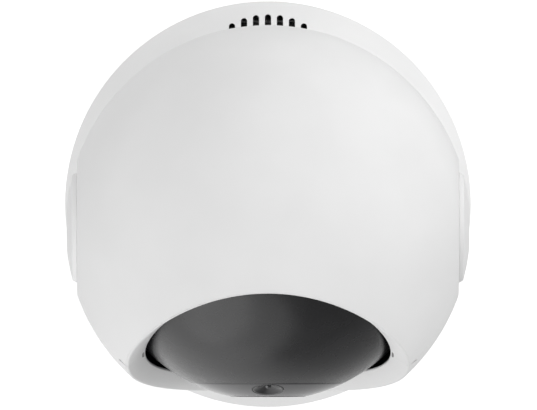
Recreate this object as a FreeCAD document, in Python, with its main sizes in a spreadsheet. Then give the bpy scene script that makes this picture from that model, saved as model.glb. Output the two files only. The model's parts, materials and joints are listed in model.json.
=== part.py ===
import FreeCAD, Part
import math
import os
import re
import Sketcher

# Pan-tilt security camera. Millimetres, +Z up, the lens looks along -Y, origin under the pan axis.
# A fixed round base carries a turning body. The body is a lower housing with a ball on top, and a
# smaller black ball with the lens tilts inside it about the X axis.
os.makedirs("parts", exist_ok=True)
doc = FreeCAD.newDocument("PanTiltCamera")
V = FreeCAD.Vector

SIZES = {
    # outside widths, each stepped in from the turning body
    "body_radius": 42.48,
    "base_step": 1.48,
    "ball_step": 0.58,
    "foot_inset": 3.0,
    # outer ball and its opening, with the opening's half sizes as angles seen from the ball centre
    "ball_forward": 4.86,
    "shell_wall": 2.3,
    "flat_depth": 2.47,
    "opening_tilt": 18.0,
    "opening_side_angle": 43.8,
    "opening_top_angle": 53.08,
    "lip_side_angle": 42.82,
    "lip_top_angle": 53.13,
    "rim_width": 4.5,
    # lower housing
    "body_wall": 2.2,
    "body_wall_height": 22.2,
    "shoulder_slope": 45.0,
    "shoulder_height": 16.0,
    "edge_chamfer": 0.7,
    # fixed base
    "foot_lift": 0.8,
    "foot_thick": 1.6,
    "foot_width": 4.0,
    "foot_edge": 0.4,
    "base_height": 13.2,
    "base_wall": 2.0,
    "deck_thick": 2.0,
    "cover_thick": 2.0,
    "base_screw_inset": 4.0,
    "base_boss_radius": 3.0,
    "base_draft": 1.2,
    "base_draft_height": 3.0,
    "spigot_radius": 8.0,
    "spigot_bore": 5.0,
    "spigot_tip": 1.2,
    "tripod_bore": 3.175,
    "tripod_depth": 6.0,
    "insert_radius": 5.0,
    "insert_floor": 0.8,
    "boss_wall": 2.5,
    "peg_circle": 13.2,
    "peg_radius": 1.2,
    "peg_height": 2.0,
    # turning joint
    "turn_gap": 0.4,
    "fit_gap": 0.05,
    "run_gap": 0.1,
    "seat_gap": 0.15,
    "bush_wall": 3.0,
    "bush_flange": 1.0,
    "bush_rim": 2.0,
    "bush_rise": 1.5,
    "plate_thick": 2.0,
    "ring_thick": 1.2,
    "ring_groove": 0.8,
    "ring_rim": 2.4,
    "ring_mouth": 9.0,
    "stop_clear": 1.1,
    "stop_width": 4.4,
    "stop_depth": 3.0,
    # gears, with the height of a tooth above and below the pitch line in modules
    "tooth_tip": 0.75,
    "tooth_root": 1.05,
    "pan_module": 0.8,
    "pan_gear_teeth": 48,
    "pan_gear_thick": 3.5,
    "pinion_teeth": 12,
    "tilt_module": 0.6,
    "tilt_gear_teeth": 30,
    "tilt_gear_thick": 3.0,
    "gear_backlash": 0.12,
    "gear_end_gap": 0.3,
    # motors and boards
    "pan_motor_radius": 10.0,
    "pan_motor_height": 12.0,
    "pan_motor_edge": 0.6,
    "pan_pilot_radius": 3.0,
    "pan_shaft_radius": 1.0,
    "ear_reach": 2.2,
    "ear_width": 5.0,
    "ear_thick": 0.8,
    "tilt_motor_radius": 7.0,
    "tilt_motor_length": 12.0,
    "tilt_pilot_radius": 2.5,
    "tilt_shaft_radius": 0.9,
    "board_thick": 1.5,
    "board_clear": 0.6,
    "board_side_gap": 2.0,
    "board_post_edge": 3.5,
    "board_post_radius": 2.5,
    "board_plug_radius": 3.0,
    "board_plug_drop": 4.0,
    "main_chip_size": 11.0,
    "main_chip_thick": 1.0,
    "leg_circle": 25.0,
    "leg_radius": 3.0,
    "flange_edge": 0.5,
    "flange_thick": 2.0,
    "flange_clear": 2.8,
    "housing_boss_radius": 3.0,
    "housing_boss_height": 10.0,
    # screws
    "screw_radius": 1.0,
    "screw_head": 2.1,
    "screw_head_height": 1.2,
    "screw_grip": 5.0,
    "small_screw_radius": 0.8,
    "small_screw_head": 1.6,
    "small_head_height": 0.8,
    "small_grip": 3.5,
    # speaker
    "slot_count": 7,
    "slot_pitch": 2.505,
    "slot_width": 1.3,
    "slot_field_radius": 15.7,
    "slot_centre": 9.5,
    "slot_half": 3.95,
    "slot_cut_inside": 0.8,
    "slot_cut_outside": 1.0,
    "speaker_width": 20.0,
    "speaker_height": 11.0,
    "speaker_thick": 4.0,
    "speaker_frame": 1.2,
    "speaker_corner": 2.0,
    "dish_edge": 1.8,
    "dish_depth": 1.0,
    # power inlet and reset button
    "power_board_width": 34.0,
    "power_board_length": 17.3,
    "power_board_gap": 0.8,
    "power_board_thick": 1.2,
    "power_post_inset": 5.0,
    "power_post_radius": 2.2,
    "power_deck_gap": 0.4,
    "tongue_width": 12.0,
    "tongue_gap": 1.0,
    "plug_width": 6.0,
    "plug_depth": 4.0,
    "switch_width": 5.0,
    "switch_depth": 4.0,
    "switch_height": 3.3,
    "switch_tip": 1.1,
    "socket_width": 7.6,
    "socket_height": 2.7,
    "socket_length": 6.0,
    "socket_wall": 0.4,
    "socket_proud": 1.4,
    "socket_gap": 0.4,
    "lead_radius": 0.8,
    "lead_bend": 3.0,
    "lead_rise": 2.8,
    "button_offset": 13.0,
    "button_radius": 1.8,
    "button_rise": 1.9,
    "button_travel": 0.6,
    "button_proud": 0.3,
    "button_lip": 0.5,
    "button_edge": 0.2,
    # black ball
    "lip_depth": 4.9,
    "head_gap": 1.2,
    "head_wall": 2.0,
    "hub_length": 9.13,
    "head_under_gap": 1.3,
    "head_side_gap": 0.6,
    "axle_radius": 3.0,
    "axle_bore": 1.8,
    "axle_flange": 4.8,
    "axle_flange_thick": 1.5,
    "hub_radius": 5.5,
    "hub_step": 0.5,
    "hub_recess": 0.4,
    "hub_flange_radius": 10.5,
    "hub_flange_thick": 1.2,
    "side_screw_circle": 7.0,
    "side_boss_length": 2.6,
    "cap_radius": 11.5,
    "cap_face_radius": 10.93,
    "cap_recess_radius": 9.0,
    "cap_recess_depth": 0.95,
    "cap_top_radius": 4.76,
    # front of the black ball, with round pieces given by their half angles seen from its centre
    "window_angle": 26.37,
    "window_thick": 1.2,
    "window_ledge": 1.7,
    "glass_angle": 12.91,
    "glass_thick": 1.6,
    "glass_proud": 0.06,
    "glass_edge": 0.15,
    "ir_window_half_angle": 5.13,
    "ir_window_angle": 20.5,
    "led_board_gap": 0.4,
    "led_board_thick": 1.2,
    "led_inset": 3.5,
    "led_radius": 1.6,
    "led_height": 1.4,
    "barrel_radius": 7.0,
    "barrel_thread_radius": 6.0,
    "lens_radius": 5.5,
    "lens_bulge": 2.0,
    "lens_seat": 2.0,
    "holder_wall": 2.0,
    "holder_foot": 1.5,
    "holder_height": 10.0,
    "sensor_back": 10.5,
    "sensor_width": 40.0,
    "sensor_height": 24.0,
    "sensor_post_inset": 3.0,
    "sensor_post_radius": 2.2,
    "chip_size": 6.0,
    "chip_thick": 1.0,
    "core_chip_size": 12.0,
    "shell_boss_radius": 3.0,
    "shell_boss_length": 9.0,
    "shell_boss_back": 14.0,
    "shell_boss_inset": 2.2,
    "shell_boss_sink": 2.2,
}

# Places worked out from the sizes above, kept as live formulas in the document.
PLACES = {
    "base_radius": "body_radius - base_step",
    "ball_radius": "body_radius - ball_step",
    "base_inside": "base_radius - base_wall",
    "foot_radius": "base_inside - foot_inset",
    "foot_inside": "foot_radius - foot_width",
    "base_screw_circle": "foot_inside - base_screw_inset",
    "cover_top": "foot_lift + cover_thick",
    "insert_top": "foot_lift + tripod_depth + insert_floor",
    "deck_top": "foot_lift + base_height",
    "deck_bottom": "deck_top - deck_thick",
    "body_inside": "body_radius - body_wall",
    "housing_bottom": "deck_top + turn_gap",
    "shoulder_z": "housing_bottom + body_wall_height",
    "shoulder_inset": "shoulder_height / tan(shoulder_slope)",
    "slant_wall": "body_wall / sin(shoulder_slope)",
    "gear_top": "deck_top + pan_gear_thick",
    "plate_bottom": "gear_top + run_gap + bush_flange",
    "plate_top": "plate_bottom + plate_thick",
    "plate_radius": "body_inside - seat_gap",
    "bush_radius": "spigot_radius + fit_gap + bush_wall",
    "bush_top": "plate_top + bush_rise",
    "ring_bottom": "bush_top + run_gap",
    "ring_top": "ring_bottom + ring_thick",
    "ring_seat": "spigot_radius - ring_groove",
    "spigot_top": "ring_top + spigot_tip",
    "motor_top": "plate_top + pan_motor_height",
    "board_bottom": "motor_top + board_clear",
    "board_top": "board_bottom + board_thick",
    "side_flat": "ball_radius - flat_depth",
    "flat_inside": "side_flat - shell_wall",
    "lip_radius": "ball_radius - lip_depth",
    "head_radius": "lip_radius - head_gap",
    "head_inside": "head_radius - head_wall",
    "head_flat": "flat_inside - hub_length",
    "side_inside": "head_flat - head_wall",
    "ball_y": "0 - ball_forward",
    "ball_z": "board_top + head_under_gap + head_radius",
    "cavity_radius": "ball_radius - shell_wall",
    "opening_half_width": "ball_radius * sin(opening_side_angle)",
    "opening_half_height": "ball_radius * sin(opening_top_angle)",
    "opening_side_depth": "ball_radius * cos(opening_side_angle)",
    "opening_top_depth": "ball_radius * cos(opening_top_angle)",
    "lip_half_width": "lip_radius * sin(lip_side_angle)",
    "lip_half_height": "lip_radius * sin(lip_top_angle)",
    "lip_side_depth": "lip_radius * cos(lip_side_angle)",
    "lip_top_depth": "lip_radius * cos(lip_top_angle)",
    "slope_side": "(opening_half_width - lip_half_width) / (opening_side_depth - lip_side_depth)",
    "slope_top": "(opening_half_height - lip_half_height) / (opening_top_depth - lip_top_depth)",
    "flange_bottom": "board_top + screw_head_height + flange_clear",
    "flange_radius": "leg_circle + leg_radius + flange_edge",
    "flange_limit": "body_radius - (flange_bottom + flange_thick - shoulder_z) / tan(shoulder_slope)"
                    " - slant_wall - 2 * seat_gap",
    "pan_centres": "pan_module * (pan_gear_teeth + pinion_teeth) / 2",
    "pinion_y": "0 - pan_centres",
    "stop_radius": "pan_centres + pan_module * (pinion_teeth / 2 + tooth_tip) + stop_clear",
    "tilt_centres": "tilt_module * (tilt_gear_teeth + pinion_teeth) / 2",
    "motor_y": "ball_y + tilt_centres",
    "tilt_gear_x": "head_flat + head_side_gap",
    "tilt_gear_end": "tilt_gear_x + tilt_gear_thick",
    "hub_bore": "axle_radius + fit_gap",
    "hub_spigot": "hub_radius - hub_step",
    "hub_end": "side_flat - hub_recess",
    "window_radius": "head_radius * sin(window_angle)",
    "glass_radius": "head_radius * sin(glass_angle)",
    "ir_window_radius": "head_radius * sin(ir_window_half_angle)",
    "led_board_radius": "window_radius - led_board_gap",
    "led_circle": "led_board_radius - led_inset",
    "motor_ear": "pan_motor_radius + ear_reach",
    "tilt_ear": "tilt_motor_radius + ear_reach",
    "main_board_radius": "leg_circle - leg_radius - board_side_gap",
    "board_post_circle": "main_board_radius - board_post_edge",
    "board_post_x": "board_post_circle * cos(30)",
    "board_post_y": "board_post_circle * sin(30)",
    "boss_circle": "body_inside - housing_boss_radius + 2 * fit_gap + 2 * seat_gap",
    "sensor_front": "sensor_back + board_thick",
    "sensor_post_x": "sensor_width / 2 - sensor_post_inset",
    "sensor_post_z": "sensor_height / 2 - sensor_post_inset",
    "glass_front": "sqrt(head_radius^2 - glass_radius^2) + glass_proud",
    "glass_back": "glass_front - glass_thick",
    "barrel_front": "glass_back - run_gap",
    "lens_back": "barrel_front - lens_bulge - lens_seat",
    "led_board_front": "sqrt(head_inside^2 - led_board_radius^2) - run_gap",
    "boss_reach": "head_inside - shell_boss_inset",
    "cap_face": "sqrt(ball_radius^2 - cap_face_radius^2)",
    "cap_top": "sqrt(ball_radius^2 - cap_top_radius^2)",
    "power_top": "deck_bottom - power_deck_gap - button_radius - button_lip - button_rise",
    "power_board_z": "power_top - power_board_thick",
    "power_board_back": "sqrt(base_inside^2 - (power_board_width / 2)^2) - power_board_gap",
    "power_board_front": "power_board_back - power_board_length",
    "power_post_x": "power_board_width / 2 - power_post_inset",
    "power_post_y": "power_board_front + power_post_inset",
    "tongue_back": "base_inside - tongue_gap",
    "lead_z": "power_top + lead_rise",
    "socket_middle": "tongue_back + socket_proud - socket_length / 2",
    "button_z": "power_top + button_rise",
    "button_start": "power_board_back + button_travel + button_edge",
    "button_face": "sqrt(base_radius^2 - button_offset^2) + button_proud",
    "button_length": "button_face - button_start",
    # lengths that only have to reach past the piece they cut
    "wide": "3 * ball_radius",
    "half_wide": "1.5 * ball_radius",
}

sheet = doc.addObject("Spreadsheet::Sheet", "Sizes")
for row, (alias, value) in enumerate(SIZES.items(), start=1):
    sheet.set(f"A{row}", alias.replace("_", " "))
    sheet.set(f"B{row}", str(value))
    sheet.setAlias(f"B{row}", alias)
doc.recompute()


def formula(text):
    """Return an expression on the sheet for a text that uses plain names."""
    def swap(match):
        word = match.group(0)
        if word in SIZES:
            return "Sizes." + word
        if word in PLACES:
            return "(" + formula(PLACES[word]) + ")"
        return word
    return re.sub(r"[A-Za-z_][A-Za-z_0-9]*", swap, str(text))


def number(text):
    """Return the value that a formula has now."""
    value = sheet.evalExpression(formula(text))
    return float(getattr(value, "Value", value))


def bind(obj, name, text):
    """Tie a property of an object to a formula."""
    setattr(obj, name, number(text))
    obj.setExpression(name, formula(text))


UP = FreeCAD.Rotation()
DOWN = FreeCAD.Rotation(V(1, 0, 0), 180)
RIGHT = FreeCAD.Rotation(V(0, 1, 0), 90)
LEFT = FreeCAD.Rotation(V(0, 1, 0), -90)
FRONT = FreeCAD.Rotation(V(1, 0, 0), 90)
BACK = FreeCAD.Rotation(V(1, 0, 0), -90)
BALL = ("0", "ball_y", "ball_z")
nodes = []


def put(obj, at, turn=UP):
    """Place an object: a turn about its own origin, then a move held by formulas."""
    obj.Placement = FreeCAD.Placement(V(*[number(text) for text in at]), turn)
    for axis, text in zip("xyz", at):
        obj.setExpression("Placement.Base." + axis, formula(text))
    return obj


def cyl(name, radius, height, at=("0", "0", "0"), turn=UP):
    """A cylinder that rises from its place along the turned Z axis."""
    obj = doc.addObject("Part::Cylinder", name)
    bind(obj, "Radius", radius)
    bind(obj, "Height", height)
    return put(obj, at, turn)


def ball(name, radius, at=BALL):
    obj = doc.addObject("Part::Sphere", name)
    bind(obj, "Radius", radius)
    return put(obj, at)


def box(name, width, depth, height, at, turn=UP):
    """A box centred in X and Y on its place, rising along Z, all before the turn."""
    obj = doc.addObject("Part::Box", name)
    bind(obj, "Length", width)
    bind(obj, "Width", depth)
    bind(obj, "Height", height)
    back = turn.multVec(V(-number(width) / 2, -number(depth) / 2, 0))
    obj.Placement = FreeCAD.Placement(V(*[number(text) for text in at]) + back, turn)
    return obj


def fuse(name, *shapes):
    obj = doc.addObject("Part::MultiFuse", name)
    obj.Shapes = list(shapes)
    return obj


def common(name, *shapes):
    obj = doc.addObject("Part::MultiCommon", name)
    obj.Shapes = list(shapes)
    return obj


def cut(name, base, *tools):
    """Cut one or more tools from a base, and check that material goes."""
    tool = tools[0] if len(tools) == 1 else fuse(name + "_tools", *tools)
    obj = doc.addObject("Part::Cut", name)
    obj.Base = base
    obj.Tool = tool
    doc.recompute()
    if not obj.Shape.Volume < base.Shape.Volume - 1e-4:
        raise RuntimeError("the cut takes nothing away: " + name)
    return obj


def node(label, obj):
    """Name a finished piece, which is then written to its own file."""
    obj.Label = label
    nodes.append((label, obj))
    return obj


def group(label, pieces):
    """One node of separate, alike solids."""
    if len(pieces) == 1:
        return node(label, pieces[0])
    obj = doc.addObject("Part::Compound", label + "_set")
    obj.Links = pieces
    return node(label, obj)


def on_plane(body, role, name):
    """A sketch on one of the origin planes of its own body."""
    sketch = body.newObject("Sketcher::SketchObject", name)
    plane = [item for item in body.Origin.OriginFeatures if item.Role == role][0]
    sketch.AttachmentSupport = [(plane, "")]
    sketch.MapMode = "FlatFace"
    return sketch


def turned(name, corners, at=("0", "0", "0"), turn=UP):
    """A body turned about Z from a profile of (radius, height) corners."""
    body = doc.addObject("PartDesign::Body", name)
    sketch = on_plane(body, "XZ_Plane", name + "_profile")
    points = [V(number(r), number(z), 0) for r, z in corners]
    count = len(points)
    for index in range(count):
        sketch.addGeometry(Part.LineSegment(points[index], points[(index + 1) % count]), False)
    for index in range(count):
        sketch.addConstraint(Sketcher.Constraint("Coincident", index, 2, (index + 1) % count, 1))
    for index, corner in enumerate(corners):
        for kind, text in zip(("DistanceX", "DistanceY"), corner):
            spot = sketch.addConstraint(Sketcher.Constraint(kind, -1, 1, index, 1, number(text)))
            sketch.setExpression(f"Constraints[{spot}]", formula(text))
    doc.recompute()
    revolution = body.newObject("PartDesign::Revolution", name + "_turn")
    revolution.Profile = sketch
    revolution.ReferenceAxis = (sketch, ["V_Axis"])
    revolution.Angle = 360
    doc.recompute()
    return put(body, at, turn)


def gear_shape(teeth, module, width, bore, phase):
    """A spur gear with stub involute teeth. A tooth is centred on the phase angle."""
    pressure = math.radians(20)
    pitch = teeth * module / 2
    base = pitch * math.cos(pressure)
    tip = pitch + number("tooth_tip") * module
    root = pitch - number("tooth_root") * module
    half = math.pi / (2 * teeth) - number("gear_backlash") / (2 * pitch)

    def half_angle(radius):
        if radius <= base:
            return half + math.tan(pressure) - pressure
        slant = math.acos(base / radius)
        return half + math.tan(pressure) - pressure - math.tan(slant) + slant

    def point(radius, angle):
        return V(radius * math.cos(angle), radius * math.sin(angle), 0)

    start = max(base, root)
    middle = (start + tip) / 2
    step = 2 * math.pi / teeth
    edges = []
    for index in range(teeth):
        mid = phase + index * step
        low, mean, high = half_angle(start), half_angle(middle), half_angle(tip)
        before = mid - low
        after = mid + low
        if root < base:
            edges.append(Part.LineSegment(point(root, before), point(start, before)).toShape())
        rise = Part.Arc(point(start, before), point(middle, mid - mean), point(tip, mid - high))
        crown = Part.Arc(point(tip, mid - high), point(tip, mid), point(tip, mid + high))
        fall = Part.Arc(point(tip, mid + high), point(middle, mid + mean), point(start, after))
        edges += [rise.toShape(), crown.toShape(), fall.toShape()]
        if root < base:
            edges.append(Part.LineSegment(point(start, after), point(root, after)).toShape())
        floor_start = min(start, root) if root < base else start
        valley = Part.Arc(
            point(floor_start, after),
            point(root, mid + step / 2),
            point(floor_start, mid + step - low),
        )
        edges.append(valley.toShape())
    face = Part.Face(Part.Wire(edges))
    solid = face.extrude(V(0, 0, width))
    return solid.cut(Part.makeCylinder(bore, width, V(0, 0, 0)))


def gear(name, teeth, module, width, bore, phase, at, turn=UP):
    obj = doc.addObject("Part::Feature", name)
    obj.Shape = gear_shape(round(number(teeth)), number(module), number(width), number(bore), phase)
    return put(obj, at, turn)


def screw(name, at, turn, small=False):
    """A screw whose head stands on its place and whose shank runs the other way."""
    kind = "small_" if small else ""
    head = "small_screw_head" if small else "screw_head"
    tall = "small_head_height" if small else "screw_head_height"
    shank = kind + "screw_radius"
    grip = "small_grip" if small else "screw_grip"
    corners = [
        ("0", "0 - " + grip),
        (shank, "0 - " + grip),
        (shank, "0"),
        (head, "0"),
        (head, tall + " * 0.6"),
        (head + " * 0.75", tall),
        ("0", tall),
    ]
    return turned(name, corners, at, turn)


def screws(label, places, turn, small=False):
    return group(label, [screw(f"{label}_{i}", at, turn, small) for i, at in enumerate(places)])


def around(radius, angle, height, middle=("0", "0")):
    """A place on a circle, as formulas."""
    return (
        f"{middle[0]} + {radius} * cos({angle})",
        f"{middle[1]} + {radius} * sin({angle})",
        height,
    )


# Fixed base
BASE_SCREW_ANGLES = (30, 150, 270)
base_screw_spots = [
    around("base_screw_circle", angle, "foot_lift + screw_head_height") for angle in BASE_SCREW_ANGLES
]

base_turned = turned("base_housing_body", [
    ("base_radius - base_draft", "foot_lift"),
    ("base_radius", "foot_lift + base_draft_height"),
    ("base_radius", "deck_top - edge_chamfer"),
    ("base_radius - edge_chamfer", "deck_top"),
    ("spigot_radius", "deck_top"),
    ("spigot_radius", "ring_bottom - fit_gap"),
    ("ring_seat", "ring_bottom - fit_gap"),
    ("ring_seat", "ring_top + fit_gap"),
    ("spigot_radius", "ring_top + fit_gap"),
    ("spigot_radius", "spigot_top"),
    ("spigot_bore", "spigot_top"),
    ("spigot_bore", "deck_bottom"),
    ("base_inside", "deck_bottom"),
    ("base_inside", "foot_lift"),
])
base_bosses = [
    cyl(f"base_boss_{i}", "base_boss_radius", "deck_bottom - cover_top + deck_thick / 2",
        around("base_screw_circle", angle, "cover_top"))
    for i, angle in enumerate(BASE_SCREW_ANGLES)
]
base_stop = box("base_stop", "stop_width", "stop_depth", "pan_gear_thick - 5 * run_gap",
                ("0", "stop_radius + stop_depth / 2", "deck_top"))
gear_pegs = [
    cyl(f"gear_peg_{i}", "peg_radius", "peg_height", (f"{side} * peg_circle", "0", "deck_top"))
    for i, side in enumerate((-1, 1))
]
base_holes = [
    cyl(f"base_hole_{i}", "screw_radius + fit_gap", "screw_grip + screw_radius",
        around("base_screw_circle", angle, "cover_top - fit_gap"))
    for i, angle in enumerate(BASE_SCREW_ANGLES)
]
socket_window = box("socket_window", "socket_width + 2 * socket_gap", "4 * base_wall",
                    "socket_height + 2 * socket_gap",
                    ("0", "base_radius - base_wall", "power_top - socket_gap"))
button_hole = cyl("button_hole", "button_radius + run_gap", "5 * base_wall",
                  ("button_offset", "base_radius - 4 * base_wall", "button_z"), BACK)
base_solid = fuse("base_solid", base_turned, *base_bosses, base_stop, *gear_pegs)
node("base_housing", cut("base_housing_cut", base_solid, *base_holes, socket_window, button_hole))

cover_turned = turned("bottom_cover_body", [
    ("insert_radius + fit_gap", "foot_lift"),
    ("foot_inside - seat_gap", "foot_lift"),
    ("foot_inside - seat_gap", "foot_thick"),
    ("foot_radius + seat_gap", "foot_thick"),
    ("foot_radius + seat_gap", "foot_lift"),
    ("base_inside - seat_gap", "foot_lift"),
    ("base_inside - seat_gap", "cover_top"),
    ("insert_radius + boss_wall", "cover_top"),
    ("insert_radius + boss_wall", "insert_top + seat_gap"),
    ("insert_radius + fit_gap", "insert_top + seat_gap"),
])
POWER_POSTS = (("0 - power_post_x", "power_post_y"), ("power_post_x", "power_post_y"))
power_posts = [
    cyl(f"power_post_{i}", "power_post_radius", "power_board_z - cover_top + cover_thick / 2",
        (x, y, "cover_top - cover_thick / 2"))
    for i, (x, y) in enumerate(POWER_POSTS)
]
cover_holes = [
    cyl(f"cover_hole_{i}", "screw_radius + fit_gap", "2 * cover_top", around("base_screw_circle", angle, "0"))
    for i, angle in enumerate(BASE_SCREW_ANGLES)
]
cover_sinks = [
    cyl(f"cover_sink_{i}", "screw_head + fit_gap", "foot_lift + screw_head_height",
        around("base_screw_circle", angle, "0"))
    for i, angle in enumerate(BASE_SCREW_ANGLES)
]
power_post_holes = [
    cyl(f"power_post_hole_{i}", "small_screw_radius + fit_gap", "small_grip + power_board_thick",
        (x, y, "power_top - small_grip - fit_gap"))
    for i, (x, y) in enumerate(POWER_POSTS)
]
cover_solid = fuse("bottom_cover_solid", cover_turned, *power_posts)
node("bottom_cover", cut("bottom_cover_cut", cover_solid, *cover_holes, *cover_sinks, *power_post_holes))
screws("base_screws", base_screw_spots, DOWN)

node("tripod_insert", turned("tripod_insert_body", [
    ("0", "foot_lift + tripod_depth"),
    ("tripod_bore", "foot_lift + tripod_depth"),
    ("tripod_bore", "foot_lift"),
    ("insert_radius", "foot_lift"),
    ("insert_radius", "insert_top"),
    ("0", "insert_top"),
]))
node("foot_ring", turned("foot_ring_body", [
    ("foot_inside + foot_edge", "0"),
    ("foot_radius - foot_edge", "0"),
    ("foot_radius", "foot_edge"),
    ("foot_radius", "foot_thick"),
    ("foot_inside", "foot_thick"),
    ("foot_inside", "foot_edge"),
]))

pan_gear_teeth = gear("pan_gear_teeth_ring", "pan_gear_teeth", "pan_module", "pan_gear_thick",
                      "spigot_radius + fit_gap", -math.pi / 2, ("0", "0", "deck_top"))
peg_holes = [
    cyl(f"peg_hole_{i}", "peg_radius + fit_gap", "peg_height + 2 * seat_gap",
        (f"{side} * peg_circle", "0", "deck_top"))
    for i, side in enumerate((-1, 1))
]
node("pan_gear", cut("pan_gear_cut", pan_gear_teeth, *peg_holes))

ring_blank = turned("retaining_ring_body", [
    ("ring_seat + fit_gap", "ring_bottom"),
    ("spigot_radius + ring_rim", "ring_bottom"),
    ("spigot_radius + ring_rim", "ring_top"),
    ("ring_seat + fit_gap", "ring_top"),
])
ring_mouth = box("ring_mouth_block", "ring_mouth", "1.5 * spigot_radius", "3 * ring_thick",
                 ("0", "1.5 * spigot_radius", "ring_bottom - ring_thick"))
node("retaining_ring", cut("retaining_ring_cut", ring_blank, ring_mouth))

# Power inlet and reset button
board_main = box("power_board_main", "power_board_width", "power_board_back - power_board_front",
                 "power_board_thick", ("0", "(power_board_back + power_board_front) / 2", "power_board_z"))
board_tongue = box("power_board_tongue", "tongue_width", "tongue_back - power_board_front",
                   "power_board_thick", ("0", "(tongue_back + power_board_front) / 2", "power_board_z"))
lead_plug = box("power_plug", "plug_width", "plug_depth", "lead_rise + 1.5 * lead_radius + run_gap",
                ("0", "power_board_front + plug_depth / 2", "power_top - run_gap"))
switch_front = "power_board_back - switch_tip"
reset_switch = box("reset_switch", "switch_width", "switch_depth", "switch_height + run_gap",
                   ("button_offset", f"{switch_front} - switch_depth / 2 + run_gap", "power_top - run_gap"))
switch_tip = cyl("reset_switch_tip", "button_radius / 2", "switch_tip",
                 ("button_offset", switch_front, "button_z"), BACK)
chip = box("power_chip", "chip_size", "chip_size", "chip_thick + run_gap",
           ("0 - power_post_x + chip_size / 2", "power_board_back - chip_size", "power_top - run_gap"))
power_solid = fuse("power_board_solid", board_main, board_tongue, lead_plug, reset_switch, switch_tip, chip)
power_holes = [
    cyl(f"power_hole_{i}", "small_screw_radius + fit_gap", "3 * power_board_thick",
        (x, y, "power_board_z - power_board_thick"))
    for i, (x, y) in enumerate(POWER_POSTS)
]
node("power_board", cut("power_board_cut", power_solid, *power_holes))
screws("power_board_screws", [(x, y, "power_top") for x, y in POWER_POSTS], UP, small=True)

socket_block = box("socket_block", "socket_width", "socket_length", "socket_height",
                   ("0", "socket_middle", "power_top"))
socket_hollow = box("socket_hollow", "socket_width - 2 * socket_wall", "socket_length",
                    "socket_height - 2 * socket_wall",
                    ("0", "socket_middle + 2 * socket_wall", "power_top + socket_wall"))
socket_tongue = box("socket_tongue", "socket_width * 0.6", "socket_length * 0.8", "socket_height / 4",
                    ("0", "socket_middle - socket_length * 0.1", "power_top + socket_height * 3 / 8"))
socket_shell = cut("socket_shell", socket_block, socket_hollow)
node("usb_socket", fuse("usb_socket_fuse", socket_shell, socket_tongue))

lead_start = V(0, number("power_board_front"), number("lead_z"))
lead_corner = V(0, 0, number("lead_z"))
lead_end = V(0, 0, number("board_bottom - board_plug_drop - 3 * run_gap"))
bend = number("lead_bend")
bend_in = lead_corner + V(0, bend, 0)
bend_out = lead_corner + V(0, 0, bend)
bend_centre = lead_corner + V(0, bend, bend)
bend_mid = bend_centre + V(0, -bend, -bend) * math.sqrt(0.5)
lead_path = Part.Wire([
    Part.LineSegment(lead_start, bend_in).toShape(),
    Part.Arc(bend_in, bend_mid, bend_out).toShape(),
    Part.LineSegment(bend_out, lead_end).toShape(),
])
lead_ring = Part.Wire([Part.Circle(lead_start, V(0, -1, 0), number("lead_radius")).toShape()])
lead = doc.addObject("Part::Feature", "power_lead_pipe")
lead.Shape = lead_path.makePipeShell([lead_ring], True, False)
node("power_lead", lead)

node("reset_button", turned("reset_button_body", [
    ("0", "0"),
    ("button_radius + button_lip", "0"),
    ("button_radius + button_lip", "button_lip"),
    ("button_radius", "button_lip"),
    ("button_radius", "button_length - button_edge"),
    ("button_radius - button_edge", "button_length"),
    ("0", "button_length"),
], ("button_offset", "button_start", "button_z"), BACK))

# Turning body: plate, bush, motor and board
LEG_ANGLES = (-35, 215, 15, 165)
BOSS_ANGLES = (90, 210, 330)
POST_SIGNS = ((1, 1), (-1, 1), (-1, -1), (1, -1))
leg_spots = [around("leg_circle", angle, "plate_top", ("0", "ball_y")) for angle in LEG_ANGLES]
boss_spots = [around("boss_circle", angle, "plate_top") for angle in BOSS_ANGLES]
post_spots = [(f"{a} * board_post_x", f"{b} * board_post_y", "plate_top") for a, b in POST_SIGNS]

plate_disc = turned("pan_plate_body", [
    ("bush_radius + fit_gap", "plate_bottom"),
    ("plate_radius", "plate_bottom"),
    ("plate_radius", "plate_top"),
    ("bush_radius + fit_gap", "plate_top"),
])
plate_posts = [
    cyl(f"plate_post_{i}", "board_post_radius", "board_bottom - plate_top + plate_thick / 4",
        (x, y, "plate_top - plate_thick / 4"))
    for i, (x, y, z) in enumerate(post_spots)
]
plate_stop = box("plate_stop", "stop_width", "stop_depth", "plate_bottom - housing_bottom - run_gap",
                 ("0", "0 - stop_radius - stop_depth / 2", "housing_bottom + 2 * run_gap"))
plate_holes = [
    cyl(f"plate_hole_{i}", "screw_radius + fit_gap", "3 * plate_thick", (x, y, "plate_bottom - plate_thick"))
    for i, (x, y, z) in enumerate(leg_spots + boss_spots)
]
plate_pilot = cyl("plate_pilot", "pan_pilot_radius + run_gap", "3 * plate_thick",
                  ("0", "pinion_y", "plate_bottom - plate_thick"))
plate_ear_holes = [
    cyl(f"plate_ear_hole_{i}", "small_screw_radius + fit_gap", "3 * plate_thick",
        (f"{side} * motor_ear", "pinion_y", "plate_bottom - plate_thick"))
    for i, side in enumerate((-1, 1))
]
post_bores = [
    cyl(f"post_bore_{i}", "screw_radius + fit_gap", "screw_grip + board_thick",
        (x, y, "board_bottom - screw_grip"))
    for i, (x, y, z) in enumerate(post_spots)
]
plate_solid = fuse("pan_plate_solid", plate_disc, *plate_posts, plate_stop)
node("pan_plate", cut("pan_plate_cut", plate_solid, *plate_holes, plate_pilot, *plate_ear_holes, *post_bores))

node("pan_bush", turned("pan_bush_body", [
    ("spigot_radius + fit_gap", "gear_top + run_gap"),
    ("bush_radius + bush_rim", "gear_top + run_gap"),
    ("bush_radius + bush_rim", "plate_bottom"),
    ("bush_radius", "plate_bottom"),
    ("bush_radius", "bush_top"),
    ("spigot_radius + fit_gap", "bush_top"),
]))

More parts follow.
